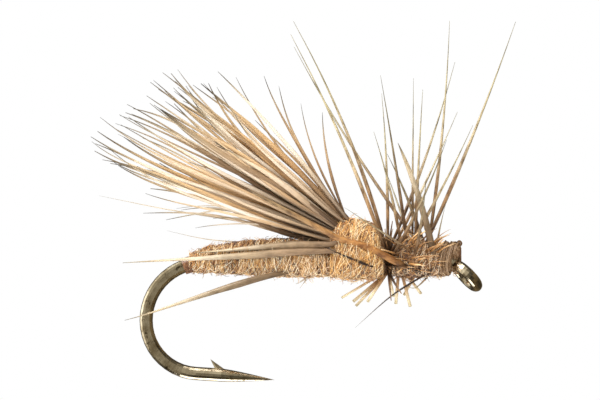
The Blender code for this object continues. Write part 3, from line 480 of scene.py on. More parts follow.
def centreline(name):
    """The middle of each ring of a CAD hair, from its root to its free end, with the ring's radius."""
    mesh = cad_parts[name].data
    co = np.array([v.co for v in mesh.vertices])
    keys, back = np.unique(np.round(co / WELD).astype(np.int64), axis=0, return_inverse=True)
    back = back.ravel()
    places = np.zeros((len(keys), 3))
    places[back] = co
    near = [set() for _ in places]
    for edge in mesh.edges:
        a, b = back[edge.vertices[0]], back[edge.vertices[1]]
        near[a].add(b)
        near[b].add(a)

    def end_ring(vertex):
        close = np.linalg.norm(places - places[vertex], axis=1) < END_REACH
        group = np.nonzero(close)[0]
        return group, float(np.linalg.norm(places[group] - places[group].mean(0), axis=1).mean())

    apart = np.linalg.norm(places[:, None] - places[None], axis=-1)
    a, b = np.unravel_index(apart.argmax(), apart.shape)
    (ring_a, size_a), (ring_b, size_b) = end_ring(a), end_ring(b)
    high_a, high_b = (np.hypot(places[i][1], places[i][2] - AXIS_Z) for i in (a, b))
    tip_is_a = size_a < size_b if abs(size_a - size_b) > SAME_SIZE else high_a > high_b
    tip = ring_a if tip_is_a else ring_b
    seen, level, rings = set(tip), list(tip), []
    while level:
        middle = places[level].mean(0)
        rings.append((middle, float(np.linalg.norm(places[level] - middle, axis=1).mean())))
        level = sorted({n for i in level for n in near[i]} - seen)
        seen |= set(level)
    rings.reverse()
    usual = np.median([size for _, size in rings])
    rings = [ring for ring in rings if ring[1] < FUSED * usual]
    return np.array([r[0] for r in rings]), np.array([r[1] for r in rings])


def smooth_line(points, steps):
    """A Catmull-Rom curve through the points, evenly spaced."""
    between = 12
    padded = np.concatenate([[2 * points[0] - points[1]], points, [2 * points[-1] - points[-2]]])
    fine = []
    for i in range(1, len(padded) - 2):
        p0, p1, p2, p3 = padded[i - 1 : i + 3]
        for t in np.linspace(0, 1, between, endpoint=False):
            square, cube = 2 * p0 - 5 * p1 + 4 * p2 - p3, 3 * p1 - p0 - 3 * p2 + p3
            fine.append(0.5 * (2 * p1 + (p2 - p0) * t + square * t**2 + cube * t**3))
    fine = np.array(fine + [padded[-2]])
    length = np.concatenate([[0], np.cumsum(np.linalg.norm(np.diff(fine, axis=0), axis=1))])
    wanted = np.linspace(0, length[-1], steps)
    return np.stack([np.interp(wanted, length, fine[:, k]) for k in range(3)], 1)


def piece(obj, slot, *nodes):
    """Puts a made piece on the root body and hides the CAD nodes that it stands for; slot is not used."""
    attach(obj, "root")
    if nodes:
        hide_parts(*nodes)


# ---------------------------------------------------------------- bodies wound on the shank
band_low, band_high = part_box("hackle_thread_front")
AXIS_Z = (band_low.z + band_high.z) / 2
PAST_END = 0.09 * MM  # how far fibres reach over a body's ends
INSET = 0.02 * MM  # the surface is read this far inside a body's ends
OUTSIDE = 6 * MM  # farther out than any body's surface
CORE_SINK = 0.02 * MM  # how far a packed core lies under the surface
FIBRE_R = 0.014 * MM
FILLED = 0.985  # how high a filled hole stands, as a share of the surface round it
BARE_R = 0.40 * MM  # the thread base, where the abdomen tapers down to it


class Skin:
    """The outer surface of a CAD body round the shank, as a radius by distance and clock."""

    ROWS, COLUMNS = 72, 64

    def __init__(self, name):
        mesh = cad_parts[name].data
        tree = BVHTree.FromPolygons([v.co for v in mesh.vertices], [p.vertices for p in mesh.polygons])
        low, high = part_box(name)
        self.start, self.end = low.x + INSET, high.x - INSET
        self.table = np.zeros((self.ROWS, self.COLUMNS))
        for i in range(self.ROWS):
            x = self.start + (self.end - self.start) * i / (self.ROWS - 1)
            for j in range(self.COLUMNS):
                clock = 2 * math.pi * j / self.COLUMNS
                out = Vector((0, math.sin(clock), math.cos(clock)))
                hit = tree.ray_cast(Vector((x, 0, AXIS_Z)) + out * OUTSIDE, -out)[0]
                self.table[i, j] = (hit - Vector((x, 0, AXIS_Z))).length if hit else 0
        self.fill()

    def fill(self):
        """Holes cut for hairs are filled from the surface round them."""
        for _ in range(3):
            around = [np.roll(self.table, s, axis=1) for s in (-3, -2, -1, 1, 2, 3)]
            self.table = np.maximum(self.table, np.median(around, axis=0) * FILLED)

    def radius(self, x, clock):
        """The surface's radius, read between the table's rows and columns."""
        row = np.clip((x - self.start) / (self.end - self.start), 0, 1) * (self.ROWS - 1)
        column = (clock / (2 * math.pi) % 1) * self.COLUMNS
        i, j = np.minimum(row.astype(int), self.ROWS - 2), column.astype(int) % self.COLUMNS
        a, b, k = row - i, column - np.floor(column), (j + 1) % self.COLUMNS
        t = self.table
        return (1 - a) * ((1 - b) * t[i, j] + b * t[i, k]) + a * ((1 - b) * t[i + 1, j] + b * t[i + 1, k])


def on_skin(x, clock, radius):
    """Places from the distance along the shank, the clock angle from the top, and the radius."""
    return np.stack([x, radius * np.sin(clock), AXIS_Z + radius * np.cos(clock)], -1)


def noodle(x, clock, pitch, deep):
    """How far the surface sinks between the turns of the dubbing noodle: 0 on a ridge, deep in a groove."""
    uneven = 0.22 * np.sin(x / pitch * 1.7 + 2 * np.sin(clock)) + 0.12 * np.sin(x / pitch * 4.1 + 1.3)
    turn = x / pitch - clock / (2 * math.pi) + uneven
    return deep * (0.5 + 0.5 * np.cos(2 * math.pi * turn)) ** 2


def core(name, skin, pitch, deep, material):
    """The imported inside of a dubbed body: a closed lumpy surface just under its fibres."""
    rows, columns = 60, 48
    x = np.linspace(skin.start, skin.end, rows)[:, None] + np.zeros((1, columns))
    clock = np.linspace(0, 2 * math.pi, columns, endpoint=False)[None, :] + np.zeros((rows, 1))
    radius = skin.radius(x, clock) - CORE_SINK - noodle(x, clock, pitch * MM, deep * MM)
    places = on_skin(x, clock, radius).reshape(-1, 3)
    index = np.arange(rows * columns).reshape(rows, columns)
    after = np.roll(index, -1, axis=1)
    quads = np.stack([index[:-1], index[1:], after[1:], after[:-1]], -1).reshape(-1, 4)
    caps = np.stack([index[0], index[-1][::-1]])
    corners = np.concatenate([quads.ravel(), caps.ravel()])
    starts = np.concatenate([np.arange(len(quads)) * 4, len(quads) * 4 + np.arange(2) * columns])
    share = places[corners]
    span = np.maximum(np.ptp(places, axis=0), 1e-9)
    maps = ((share - places.min(0)) / span)[:, (0, 2)]
    return build_mesh(name, places, corners, starts, maps, material)


def dubbing(name, skin, material, count, pitch, deep, length, lift, loose, tilt, shade_mid, painted_top_shade):
    """Fibres wound round a body: most lie in the noodle's turns, and a loose share of them stands off it."""
    steps = 9
    pitch, deep = pitch * MM, deep * MM
    x0 = random.uniform(skin.start - PAST_END, skin.end + PAST_END, count)
    clock0 = random.uniform(0, 2 * math.pi, count)
    run = random.uniform(0.5, 1.0, count) * length * MM
    lean = random.normal(tilt, 0.42, count)
    lean *= np.where(random.random(count) < 0.22, -1.6, 1.0)
    free = random.random(count) < loose
    s = np.linspace(0, 1, steps)[None, :]
    around = skin.radius(x0, clock0)
    wave = random.uniform(0, 2 * math.pi, (count, 1)) + s * random.uniform(3, 9, (count, 1))
    curl = random.uniform(0.01, 0.075, (count, 1)) * MM
    x = x0[:, None] + run[:, None] * np.sin(lean)[:, None] * s + curl * np.sin(wave)
    x = np.clip(x, skin.start - PAST_END, skin.end + PAST_END)
    clock = clock0[:, None] + (run * np.cos(lean) / np.maximum(around, 0.3 * MM))[:, None] * s
    surface = skin.radius(x, clock) - noodle(x, clock, pitch, deep)
    height = random.uniform(-0.015, lift, (count, 1)) * MM + 0.5 * curl * np.cos(wave)
    arch = random.uniform(0.0, 0.05, (count, 1)) * MM * np.sin(math.pi * s)
    stand = np.where(free, random.uniform(0.05, 0.34, count), 0.0)[:, None] * MM * s**1.8
    lines = on_skin(x, clock, surface + height + arch + stand)
    thin = np.where(free, 0.75, 1.0) * random.uniform(0.7, 1.35, count) * FIBRE_R
    radii = thin[:, None] * (1 - 0.45 * np.abs(2 * s - 1) ** 3)
    # Painted shade: fibres that lie in the noodle's grooves get darker shades, those on its ridges lighter
    # ones.
    groove = noodle(x0, clock0, pitch, 1.0)
    # Painted shade: fibres on the body's top, under the wing, get darker shades.
    top = np.maximum(np.cos(clock0), 0) ** 3 * painted_top_shade
    shades = shade_mid + random.normal(0, 0.31, count) - 0.34 * groove - top + 0.15 * free
    return strands(name, lines, radii, np.clip(shades, 0.02, 0.98), material, 3, (1.0, 0.0, 0.0))


def wind_thread(name, node_name, turns, thread_r, slope, layers, proud=0.0):
    """Thread turns laid side by side over a CAD body, in layers that run to and fro."""
    skin = Skin(node_name)
    lines = []
    points = 26
    for layer in range(layers):
        total = turns * points
        share = np.linspace(0, 1, total)
        share = share if layer % 2 == 0 else share[::-1]
        clock = np.linspace(0, 2 * math.pi * turns, total) + layer * 1.3
        x = skin.start + (skin.end - skin.start) * share + slope * MM * np.sin(clock)
        x = np.clip(x, skin.start, skin.end)
        wobble = random.normal(0, 0.004, total).cumsum() * 0.1
        radius = skin.radius(x, clock) + (proud + layer * thread_r * 0.7) * MM + wobble * MM
        lines.append(on_skin(x, clock, radius))
    lines = np.array(lines)
    radii = np.full(lines.shape[:2], thread_r * MM)
    shades = random.uniform(0.35, 0.8, layers)
    piece(strands(name, lines, radii, shades, finish["thread"], 6, (1.0, 0.0, 0.0)), "brown_thread")


def along_and_top(skin, sharpness):
    """How far along the body each row is, and how much each column counts as its top."""
    clock = 2 * math.pi * np.arange(skin.COLUMNS) / skin.COLUMNS
    return np.arange(skin.ROWS) / (skin.ROWS - 1), np.maximum(np.cos(clock), 0) ** sharpness


def raised(skin, i, full, top, amount):
    skin.table[i] += top * amount * np.maximum(full - skin.table[i], 0)


def raise_front(skin, share, amount, drop):
    """Keeps the body's top high towards its front, falling by a share of its height, with a round edge."""
    edge_length, lip = 0.14, 0.6
    rows, top = along_and_top(skin, 0.9)
    full = skin.table[int(share * skin.ROWS)]
    for i in np.nonzero(rows > share)[0]:
        edge = min((1 - rows[i]) / edge_length, 1)
        height = lip + (1 - lip) * math.sqrt(1 - (1 - edge) ** 2)
        height *= 1 - drop * (rows[i] - share) / (1 - share)
        raised(skin, i, full * height, top, amount)


def raise_shoulder(skin, share, amount):
    """Carries the body's top out to its rear end at nearly full height, packed against the wing's foot."""
    edge_length, lip = 0.16, 0.65
    rows, top = along_and_top(skin, 1.2)
    full = skin.table[int(share * skin.ROWS)]
    for i in np.nonzero(rows < share)[0]:
        edge = min(rows[i] / edge_length, 1)
        height = lip + (1 - lip) * math.sqrt(1 - (1 - edge) ** 2)
        raised(skin, i, full * height, top, amount)


def taper_rear(skin, share, left):
    """Draws the body's rear end down towards the thread, keeping a share of its thickness at the very end."""
    rows = np.arange(skin.ROWS) / (skin.ROWS - 1)
    for i in np.nonzero(rows < share)[0]:
        kept = left + (1 - left) * math.sqrt(rows[i] / share)
        skin.table[i] = BARE_R + (skin.table[i] - BARE_R) * kept


for name, kind in (
    ("hook", "hook"),
    ("thread_underbody", "thread_core"),
    ("wing_tie_in_thread", "tan_core"),
    ("head_thread", "thread_core"),
    ("hackle_thread_front", "thread_core"),
    ("hackle_thread_rear", "thread_core"),
):
    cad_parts[name].data.materials.clear()
    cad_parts[name].data.materials.append(finish[kind])

abdomen = Skin("abdomen_dubbing")
collar = Skin("collar_dubbing")
thorax = Skin("thorax_dubbing")
taper_rear(abdomen, 0.14, 0.15)
raise_shoulder(collar, 0.42, 0.85)
raise_front(collar, 0.5, 0.9, 0.10)
# How many fibres, the noodle's pitch and groove depth, a fibre's length and lift (in millimetres), the share
# that stands loose, the tilt, the middle shade, and how much painted shade darkens the body's top under the
# wing.
ABDOMEN_WOUND = (3900, 0.62, 0.035, 1.2, 0.03, 0.10, 0.12, 0.70, 0.40)
COLLAR_WOUND = (3000, 0.90, 0.050, 1.4, 0.04, 0.12, 0.30, 0.68, 0.0)
THORAX_WOUND = (2400, 0.70, 0.060, 1.1, 0.05, 0.14, 0.25, 0.60, 0.0)
for name, skin, wound, kind, slot, node_name in (
    ("abdomen_packed", abdomen, ABDOMEN_WOUND, "abdomen_core", "golden_dubbing", "abdomen_dubbing"),
    ("collar_packed", collar, COLLAR_WOUND, "gold_core", "golden_dubbing", "collar_dubbing"),
    ("thorax_packed", thorax, THORAX_WOUND, "rust_core", "rust_dubbing", "thorax_dubbing"),
):
    piece(core(name, skin, *wound[1:3], finish[kind]), slot, node_name)
piece(dubbing("abdomen_fibres", abdomen, finish["abdomen"], *ABDOMEN_WOUND), "golden_dubbing")
piece(dubbing("collar_fibres", collar, finish["gold"], *COLLAR_WOUND), "golden_dubbing")
piece(dubbing("thorax_fibres", thorax, finish["rust"], *THORAX_WOUND), "rust_dubbing")
wind_thread("head_turns", "head_thread", 14, 0.021, 0.19, 4, 0.004)
wind_thread("head_finish_turns", "head_thread", 4, 0.026, 0.30, 5, 0.035)
wind_thread("head_cross_turns", "head_thread", 3, 0.026, 0.30, 5, 0.02)


def build_head_knot():
    """The whip finish: a few tight loops drawn up at the head's top front, and the fluff caught under it."""
    skin = Skin("head_thread")
    loops, steps = 9, 22
    turn = np.linspace(0, 2 * math.pi, steps)[None, :]
    crown = skin.radius(np.array([skin.end - 0.12 * MM]), np.array([0.0]))[0]
    knot = np.array([skin.end - 0.07 * MM, -0.04 * MM, AXIS_Z + crown + 0.02 * MM])
    first = random.normal(0, 1, (loops, 3))
    first /= np.linalg.norm(first, axis=1)[:, None]
    second = np.cross(first, random.normal(0, 1, (loops, 3)))
    second /= np.linalg.norm(second, axis=1)[:, None]
    size = random.uniform(0.07, 0.12, (loops, 1, 1)) * MM
    ring = np.cos(turn)[:, :, None] * first[:, None] + np.sin(turn)[:, :, None] * second[:, None]
    radii = np.full((loops, steps), 0.034 * MM)
    shades = random.uniform(0.2, 0.8, loops)
    piece(strands("head_knot", knot + size * ring, radii, shades, finish["thread"], 6), "brown_thread")
    n, steps = 56, 9
    fluff_x = random.uniform(skin.start - 0.15 * MM, skin.end - 0.02 * MM, n)
    fluff_clock = np.radians(180 + random.normal(-18, 26, n))
    out = skin.radius(fluff_x, fluff_clock) - 0.02 * MM
    start = on_skin(fluff_x, fluff_clock, out)
    swing = random.normal(0, 0.14, (n, 2, 3)) * MM
    end = on_skin(fluff_x, fluff_clock, out + random.uniform(0.05, 0.26, n) * MM)
    lines = bezier(np.stack([start, start + swing[:, 0], end + swing[:, 1], end], 1), steps)
    radii = np.full((n, steps), 0.018 * MM)
    shades = random.uniform(0.75, 1.0, n)
    piece(strands("head_fluff", lines, radii, shades, finish["rust"], 3), "brown_thread")


def build_tail_turns():
    """Thread turns left bare behind the abdomen, where the hook's bend begins."""
    skin = Skin("thread_underbody")
    bare = abdomen.start - skin.start
    turns, steps = 4, 40
    turn = np.linspace(0, 2 * math.pi, steps)[None, :]
    share = (np.arange(turns)[:, None] + 0.5) / turns
    x = skin.start + bare * (0.1 + 0.9 * share) - 0.10 * MM * np.cos(turn) * (1 - share)
    x = x + 0.03 * MM * np.sin(turn + random.uniform(0, 6, (turns, 1)))
    clock = np.broadcast_to(turn, x.shape)
    lines = on_skin(x, clock, skin.radius(x, clock) + 0.03 * MM)
    radii = np.full((turns, steps), 0.045 * MM)
    shades = np.array([0.9, 0.0, 0.7, 0.0])
    piece(strands("tail_turns", lines, radii, shades, finish["tan_thread"], 6), "tan_thread")


build_head_knot()
build_tail_turns()
wind_thread("front_band_turns", "hackle_thread_front", 4, 0.03, 0.02, 1)
wind_thread("rear_band_turns", "hackle_thread_rear", 4, 0.03, 0.02, 1)


# ---------------------------------------------------------------- wing
def node_middle_at(name, x, reach):
    """The middle of a node's vertices near a distance along the shank."""
    co = np.array([v.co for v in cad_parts[name].data.vertices])
    near = co[np.abs(co[:, 0] - x) < reach]
    return near.mean(0)


wing_root = node_middle_at("wing_lock_core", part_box("collar_dubbing")[0].x + 0.05 * MM, 0.25 * MM)
LOCKS = ["wing_lock_core"] + [f"wing_lock_{i}" for i in range(1, 7)]


def lock_headings():
    """Each CAD lock's direction from the root: rise and side angle."""
    found = []
    for name in LOCKS:
        co = np.array([v.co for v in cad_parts[name].data.vertices])
        far = co[np.argsort(co[:, 0])[: len(co) // 6]].mean(0) - wing_root
        found.append((math.atan2(far[2], -far[0]), math.atan2(far[1], math.hypot(far[0], far[2]))))
    return np.array(found)


def wing_length(rise):
    """The bunch's outline: the longest hairs lie near its foot's line, and steeper ones are shorter."""
    degrees = (14, 18, 21.6, 28, 34, 41, 46, 51, 57, 62, 68, 78)
    reach = (9.2, 11.0, 12.8, 11.8, 11.0, 10.7, 9.2, 9.0, 8.4, 7.1, 5.9, 5.0)
    return np.interp(np.degrees(rise), degrees, reach) * MM


def heading(rise, side):
    """The direction of a hair that rises, and swings to the side, by these angles."""
    return np.stack([-np.cos(rise) * np.cos(side), np.sin(side), np.sin(rise) * np.cos(side)], -1)


LOWEST, FAN = math.radians(15), math.radians(35)  # the fan's lowest hair, and how far it opens
WIDEST, HALF_FOOT = math.radians(18), 0.45 * MM  # the widest swing, and the foot's half width there


def wing_lines(rise, side, length, steps, turned, sag):
    """Hairs that leave the bunch together and fan out, their fine ends bending a little."""
    count = len(rise)
    share = np.clip((rise - LOWEST) / FAN, -0.1, 1.0)
    root = np.stack(
        [
            wing_root[0] + (0.22 + 0.42 * share + random.normal(0, 0.04, count)) * MM,
            wing_root[1] + side / WIDEST * HALF_FOOT,
            wing_root[2] + (-0.66 + 1.12 * share + random.normal(0, 0.05, count)) * MM,
        ],
        -1,
    )
    end = root + heading(rise, side) * length[:, None]
    first = root + heading(rise - turned, side * 0.75) * length[:, None] * 0.36
    second = end - heading(rise + sag, side * 1.05) * length[:, None] * 0.30
    return bezier(np.stack([root, first, second, end], 1), steps)


def shared_out(apart):
    """Each hair's lock: the nearest that has room, so that every lock gets its even share."""
    hairs, locks = apart.shape
    room = math.ceil(hairs / locks)
    chosen = np.full(hairs, -1)
    for place in np.argsort(apart, axis=None, kind="stable"):
        hair, lock = divmod(place, locks)
        if chosen[hair] < 0 and (chosen == lock).sum() < room:
            chosen[hair] = lock
    return chosen


def build_wing():
    """Clumps of hair that lie close together, and single hairs between, above and below them."""
    clumps, loners = 13, 30
    steep = (52, 59.5, 62.5, 68, 77)  # degrees, as the others down to np.radians
    low = (7.5, 9, 10.5, 12, 13, 14, 15)
    each = random.integers(3, 7, clumps)
    in_clumps = each.sum()
    rise = np.repeat(np.linspace(17, 47, clumps) + random.normal(0, 1.6, clumps), each)
    side = np.repeat(random.normal(0, 6.5, clumps), each)
    rise = rise + random.normal(0, 1.5, in_clumps)
    side = side + random.normal(0, 2.0, in_clumps)
    rise = np.concatenate([rise, random.uniform(15, 49, loners), steep, low])
    side = np.concatenate([side, random.normal(0, 8, loners), random.normal(0, 5, len(steep) + len(low))])
    rise, side = np.radians(rise), np.radians(side.clip(-17, 17))
    count = len(rise)
    is_loner = np.arange(count) >= in_clumps
    is_steep = (np.arange(count) >= in_clumps + loners) & (rise > math.radians(50))
    is_low = np.arange(count) >= count - len(low)
    short = np.where(random.random(count) < 0.42, random.uniform(0.6, 0.9, count), 1.0)
    length = wing_length(rise) * random.normal(0.98, 0.045, count).clip(0.88, 1.05)
    length *= np.where(is_steep, 1.0, short)
    turned = np.where(is_steep, 0.0, random.normal(0.02, 0.10, count))
    sag = np.where(is_steep | is_low, 0.0, random.normal(0.05, 0.12, count))
    steps = 24
    lines = wing_lines(rise, side, length, steps, turned, sag)
    t = np.linspace(0, 1, steps)[None, :]
    bow = random.normal(0.02, 0.14, count) * MM
    bow = np.where(is_steep, -random.uniform(0.25, 0.5, count) * MM, bow)
    bow = np.where(is_low, random.uniform(0.4, 0.9, count) * MM, bow)
    aside = np.stack([np.sin(rise), np.zeros(count), np.cos(rise)], 1)
    lines += (bow[:, None] * 4 * t * (1 - t))[:, :, None] * aside[:, None, :]
    wave = random.normal(0, 0.075, (count, 1)) * MM * np.minimum(t * 4, 1)
    wave = wave * np.sin(t * random.uniform(4, 9, (count, 1)) + random.uniform(0, 6, (count, 1)))
    lines[:, :, 2] += wave
    lines[:, :, 1] += wave * random.normal(0, 1, (count, 1))
    full = random.uniform(0.08, 0.15, count) * MM
    full *= np.where(is_loner, 0.7, 1.0) * np.where(is_steep | is_low, 0.8, 1.0)
    radii = full[:, None] * hair_profile(t, 0.38, 0.10, 0.9, 0.5)
    shades = random.beta(0.75, 0.55, count)
    # Painted shade: hairs near the middle of the fan, deep in the bunch, get darker shades.
    painted_inner_shade = np.exp(-((side / math.radians(6)) ** 2))
    shades = (shades - 0.12 * painted_inner_shade).clip(0, 1)
    shades = np.where(is_steep, random.uniform(0.6, 1.0, count) ** 0.3 * 0.15, shades)
    shades = np.where(is_low, random.uniform(0.7, 1.0, count), shades)
    headings = lock_headings()
    apart = np.hypot(rise[:, None] - headings[None, :, 0], side[:, None] - headings[None, :, 1])
    lock = shared_out(apart)
    for i, node_name in enumerate(LOCKS):
        mine = lock == i
        name = node_name.replace("wing_lock", "wing_hairs")
        made = strands(name, lines[mine], radii[mine], shades[mine], finish["wing"], 8)
        piece(made, "wing_hair", node_name)


random = np.random.default_rng(14)  # so that the wing doesn't depend on what is built before it
build_wing()


# ---------------------------------------------------------------- single hairs
def single_hair(node_name, piece_name, slot, kind, shade, fuller, profile=np.ones_like, hollow=0.0):
    """A hair on a CAD hair's own line, with a rounder, tapered shape of its own."""
    steps = 30
    points, sizes = centreline(node_name)
    line = smooth_line(points, steps)
    radii = np.median(np.sort(sizes)[-3:]) * fuller * profile(np.linspace(0, 1, steps))
    made = strands(piece_name, line[None], radii[None], np.array([shade]), finish[kind], 8, hollow=hollow)
    piece(made, slot, node_name)


def hackle_shape(t):
    return hair_profile(t, 0.3, 0.10, 1.15, 0.75)


def blade_shape(t):
    """Broad from the root to past its middle, and torn off near the tip."""
    return (1 - 0.55 * t**2) * (1 - t**9) + 0.05


def laid_shape(t):
    return hair_profile(t, 0.36, 0.06, 1.2, 0.42)


def blunt_shape(t):
    """Widest just past its cut root, and evenly drawn out from there."""
    return (0.08 + 0.92 * (1 - t) ** 0.5) * np.minimum(0.45 + t * 9, 1)


TAN_BLADE = 15  # the one broad pale hair among the standing ones
for i in range(1, 21):
    kind, shade = ("pale", 0.20) if i == TAN_BLADE else ("hackle", random.uniform(0.0, 0.75))
    fuller, shape = (1.25, blade_shape) if i == TAN_BLADE else (1.15, hackle_shape)
    names = f"hackle_hair_{i:02d}", f"hackle_strand_{i:02d}"
    single_hair(*names, "hackle_hair", kind, shade, fuller, shape)
for i in range(1, 10):
    shade = random.uniform(0.35, 1.0)
    names = f"clipped_butt_{i:02d}", f"clipped_strand_{i:02d}"
    single_hair(*names, "butt_hair", "butt", shade, 1.1, hollow=0.10 * MM)
# Node, shade, kind of hair, how much fuller than the CAD's, and shape.
LAID = (
    ("side_hair_upper", 0.50, "pale", 2.3, laid_shape),
    ("side_hair_lower", 0.68, "pale", 1.95, laid_shape),
    ("underslung_hair", 0.12, "pale", 1.35, laid_shape),
    ("far_side_hair_upper", 0.60, "pale", 1.20, laid_shape),
    ("far_side_hair_lower", 0.70, "pale", 1.20, laid_shape),
    ("over_collar_hair", 0.55, "orange", 1.90, blunt_shape),
    ("dark_collar_hair", 0.10, "black", 1.70, laid_shape),
    ("drooping_hair", 0.20, "black", 1.20, laid_shape),
    ("curled_hair", 0.50, "hackle", 1.20, laid_shape),
)
for name, shade, kind, fuller, shape in LAID:
    single_hair(name, name + "_strand", "pale_hair", kind, shade, fuller, shape)


# ---------------------------------------------------------------- short hairs round the hackle
def tufts(name, x, clock, start_r, lean, length, full, shades, kind, slot, bend=0.4, tip=0.3):
    """Short hairs that leave the body at a clock angle, leaning along the shank."""
    steps = 9
    out = np.stack([np.zeros_like(clock), np.sin(clock), np.cos(clock)], -1)
    shank = np.array([1.0, 0.0, 0.0])
    root = on_skin(x, clock, start_r)
    first = out * np.cos(lean * (1 - bend))[:, None] + shank * np.sin(lean * (1 - bend))[:, None]
    last = out * np.cos(lean)[:, None] + shank * np.sin(lean)[:, None]
    middle = root + first * length[:, None] * 0.5
    end = middle + last * length[:, None] * 0.5
    lines = bezier(np.stack([root, middle, end], 1), steps)
    t = np.linspace(0, 1, steps)[None, :]
    radii = full[:, None] * (1 - (1 - tip) * t**1.5)
    piece(strands(name, lines, radii, shades, finish[kind], 6), slot)


def build_short_hairs():
    lane = (band_low.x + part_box("hackle_thread_rear")[1].x) / 2
    n = 46
    tufts(
        "hackle_bases",
        lane + random.normal(0, 0.05, n) * MM,
        np.radians(random.uniform(-150, 150, n)),
        np.full(n, 0.36 * MM),
        np.radians(random.normal(4, 30, n)),
        random.uniform(0.6, 1.75, n) * MM,
        random.uniform(0.045, 0.078, n) * MM,
        random.uniform(0.0, 0.22, n),
        "base",
        "hackle_hair",
    )
    n = 60
    x = random.uniform(thorax.start + 0.1 * MM, thorax.end - 0.1 * MM, n)
    clock = np.radians(random.uniform(-125, 125, n))
    tufts(
        "thorax_hairs",
        x,
        clock,
        thorax.radius(x, clock) - 0.06 * MM,
        np.radians(random.choice((-1, 1, 1), n) * random.uniform(40, 84, n)),
        random.uniform(0.5, 1.5, n) * MM,
        random.uniform(0.022, 0.05, n) * MM,
        random.uniform(0.1, 1.0, n),
        "stub",
        "hackle_hair",
        bend=0.55,
        tip=0.12,
    )
    n = 16
    x = random.uniform(thorax.start + 0.1 * MM, thorax.end - 0.35 * MM, n)
    clock = np.radians(random.uniform(-105, 105, n))
    tufts(
        "thorax_butts",
        x,
        clock,
        thorax.radius(x, clock) - 0.12 * MM,
        np.radians(random.choice((-1, 1, 1), n) * random.uniform(20, 68, n)),
        random.uniform(0.6, 1.35, n) * MM,
        random.uniform(0.04, 0.065, n) * MM,
        random.uniform(0.4, 1.0, n),
        "stub",
        "hackle_hair",
        bend=0.35,
        tip=0.55,
    )
    n = 7
    tufts(
        "belly_strays",
        abdomen.end - random.uniform(0.75, 1.15, n) * MM,
        np.radians(180 + random.normal(0, 25, n)),
        np.full(n, 0.62 * MM),
        np.radians(random.uniform(-75, -35, n)),
        random.uniform(0.3, 0.7, n) * MM,
        random.uniform(0.012, 0.022, n) * MM,
        random.uniform(0.4, 1.0, n),
        "pale",
        "golden_dubbing",
    )


def build_dark_hair():
    """A dark hair from under the orange hair's cut end, low across the thorax on the near side."""
    share = np.array([0.0, 0.35, 0.7, 1.0])
    x = thorax.start + (thorax.end - thorax.start) * (share * 0.98 + 0.06)
    clock = np.radians([-92.0, -108.0, -118.0, -106.0])
    knots = on_skin(x, clock, thorax.radius(x, clock) + np.array([0.10, 0.07, 0.05, 0.02]) * MM)
    steps = 24
    line = smooth_line(knots, steps)
    radii = 0.085 * MM * hair_profile(np.linspace(0, 1, steps), 0.45, 0.3, 1.0, 0.5)
    made = strands("thorax_dark_strand", line[None], radii[None], np.array([0.1]), finish["black"], 8)
    piece(made, "hackle_hair")


build_short_hairs()
build_dark_hair()


# ---------------------------------------------------------------- stage, light and camera
FLOOR_REACH, FLOOR_DROP = 0.25, 45 * MM  # how far the floor spreads, and how far under the hook it lies


def build_floor():
    mesh = bpy.data.meshes.new("floor")
    height = cad_low.z - FLOOR_DROP
    corners = [(x * FLOOR_REACH, y * FLOOR_REACH, height) for x, y in ((-1, -1), (1, -1), (1, 1), (-1, 1))]
    mesh.from_pydata(corners, [], [(0, 1, 2, 3)])
    obj = bpy.data.objects.new("floor", mesh)
    bpy.context.scene.collection.objects.link(obj)
    material, tree, shader = new_material("floor_white")
    shader.inputs["Base Color"].default_value = (0.92, 0.92, 0.92, 1)
    shader.inputs["Roughness"].default_value = 0.9
    mesh.materials.append(material)
    obj.visible_glossy = False


def area_light(name, place, target, size, power, mirrored):
    """A round soft light that polished wire may mirror or not."""
    data = bpy.data.lights.new(name, "AREA")
    data.shape = "DISK"
    data.size = size
    data.energy = power
    obj = bpy.data.objects.new(name, data)
    bpy.context.scene.collection.objects.link(obj)
    obj.location = place
    obj.rotation_mode = "QUATERNION"
    obj.rotation_quaternion = (target - place).to_track_quat("-Z", "Y")
    obj.visible_camera = False
    obj.visible_glossy = mirrored


# Each light's place from the fly's middle, its size and power, and whether polished wire mirrors it.
LIGHTS = (
    ("key", (-0.13, -0.08, 0.17), 0.14, 0.70, True),
    ("left_box", (-0.236, -0.02, -0.01), 0.28, 0.17, True),
    ("left_soft", (-0.235, 0.0, -0.01), 0.24, 0.28, False),
    ("top_box", (0.0, -0.02, 0.25), 0.16, 0.14, True),
    ("top_soft", (0.0, -0.02, 0.25), 0.16, 0.18, False),
    ("low_box", (-0.008, 0.004, -0.045), 0.022, 0.004, True),
    ("fill", (0.08, -0.20, 0.06), 0.12, 0.25, False),
    ("back_fill", (0.04, 0.22, 0.08), 0.16, 0.35, False),
)
# What polished wire mirrors, from the room's lower right at the back to its upper left at the front.
ROOM = (
    (0.0, (62, 58, 50)),
    (0.25, (122, 106, 78)),
    (0.40, (58, 54, 46)),
    (0.60, (98, 93, 82)),
    (0.67, (142, 135, 120)),
    (0.80, (206, 200, 186)),
    (1.0, (255, 252, 240)),
)


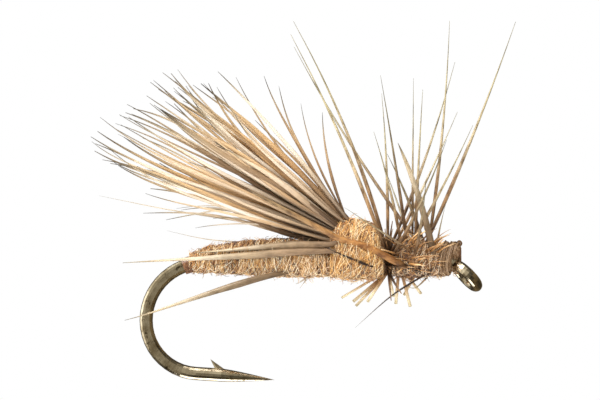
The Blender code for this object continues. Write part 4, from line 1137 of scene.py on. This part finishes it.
def build_world():
    """A white sweep behind, even soft light for matt surfaces, and a dimmer room for polished wire."""
    world = bpy.data.worlds.new("studio")
    bpy.context.scene.world = world
    world.use_nodes = True
    tree = world.node_tree
    tree.nodes.clear()
    toward = node(tree, "VectorMath", operation="DOT_PRODUCT")
    tree.links.new(node(tree, "TexCoord").outputs["Generated"], toward.inputs[0])
    toward.inputs[1].default_value = Vector((-0.85, -0.35, 0.50)).normalized()
    half = maths(tree, "MULTIPLY_ADD", toward.outputs["Value"], 0.5)
    half.node.inputs[2].default_value = 0.5
    room = node(tree, "Background")
    tree.links.new(ramp(tree, half, ROOM), room.inputs["Color"])
    soft = node(tree, "Background")
    soft.inputs["Strength"].default_value = SOFT_LEVEL
    seen = node(tree, "Background")
    soft.inputs["Color"].default_value = seen.inputs["Color"].default_value = (1, 1, 1, 1)
    path = node(tree, "LightPath")
    lighting, either = node(tree, "MixShader"), node(tree, "MixShader")
    tree.links.new(path.outputs["Is Glossy Ray"], lighting.inputs[0])
    tree.links.new(soft.outputs[0], lighting.inputs[1])
    tree.links.new(room.outputs[0], lighting.inputs[2])
    tree.links.new(path.outputs["Is Camera Ray"], either.inputs[0])
    tree.links.new(lighting.outputs[0], either.inputs[1])
    tree.links.new(seen.outputs[0], either.inputs[2])
    tree.links.new(either.outputs[0], node(tree, "OutputWorld").inputs["Surface"])


def build_camera():
    data = bpy.data.cameras.new("camera")
    data.lens = LENS
    data.sensor_width = SENSOR
    distance = VIEW_WIDTH * LENS / SENSOR
    data.clip_start, data.clip_end = distance * 0.05, distance * 20
    obj = bpy.data.objects.new("camera", data)
    bpy.context.scene.collection.objects.link(obj)
    obj.location = (VIEW_CENTRE_X, -distance, VIEW_CENTRE_Z)
    obj.rotation_euler = (math.pi / 2, 0, 0)
    bpy.context.scene.camera = obj


build_floor()
build_world()
middle = (cad_low + cad_high) / 2
for name, offset, size, power, mirrored in LIGHTS:
    area_light(name, middle + Vector(offset), middle, size, power, mirrored)
build_camera()
bpy.context.scene.view_settings.view_transform = "Standard"
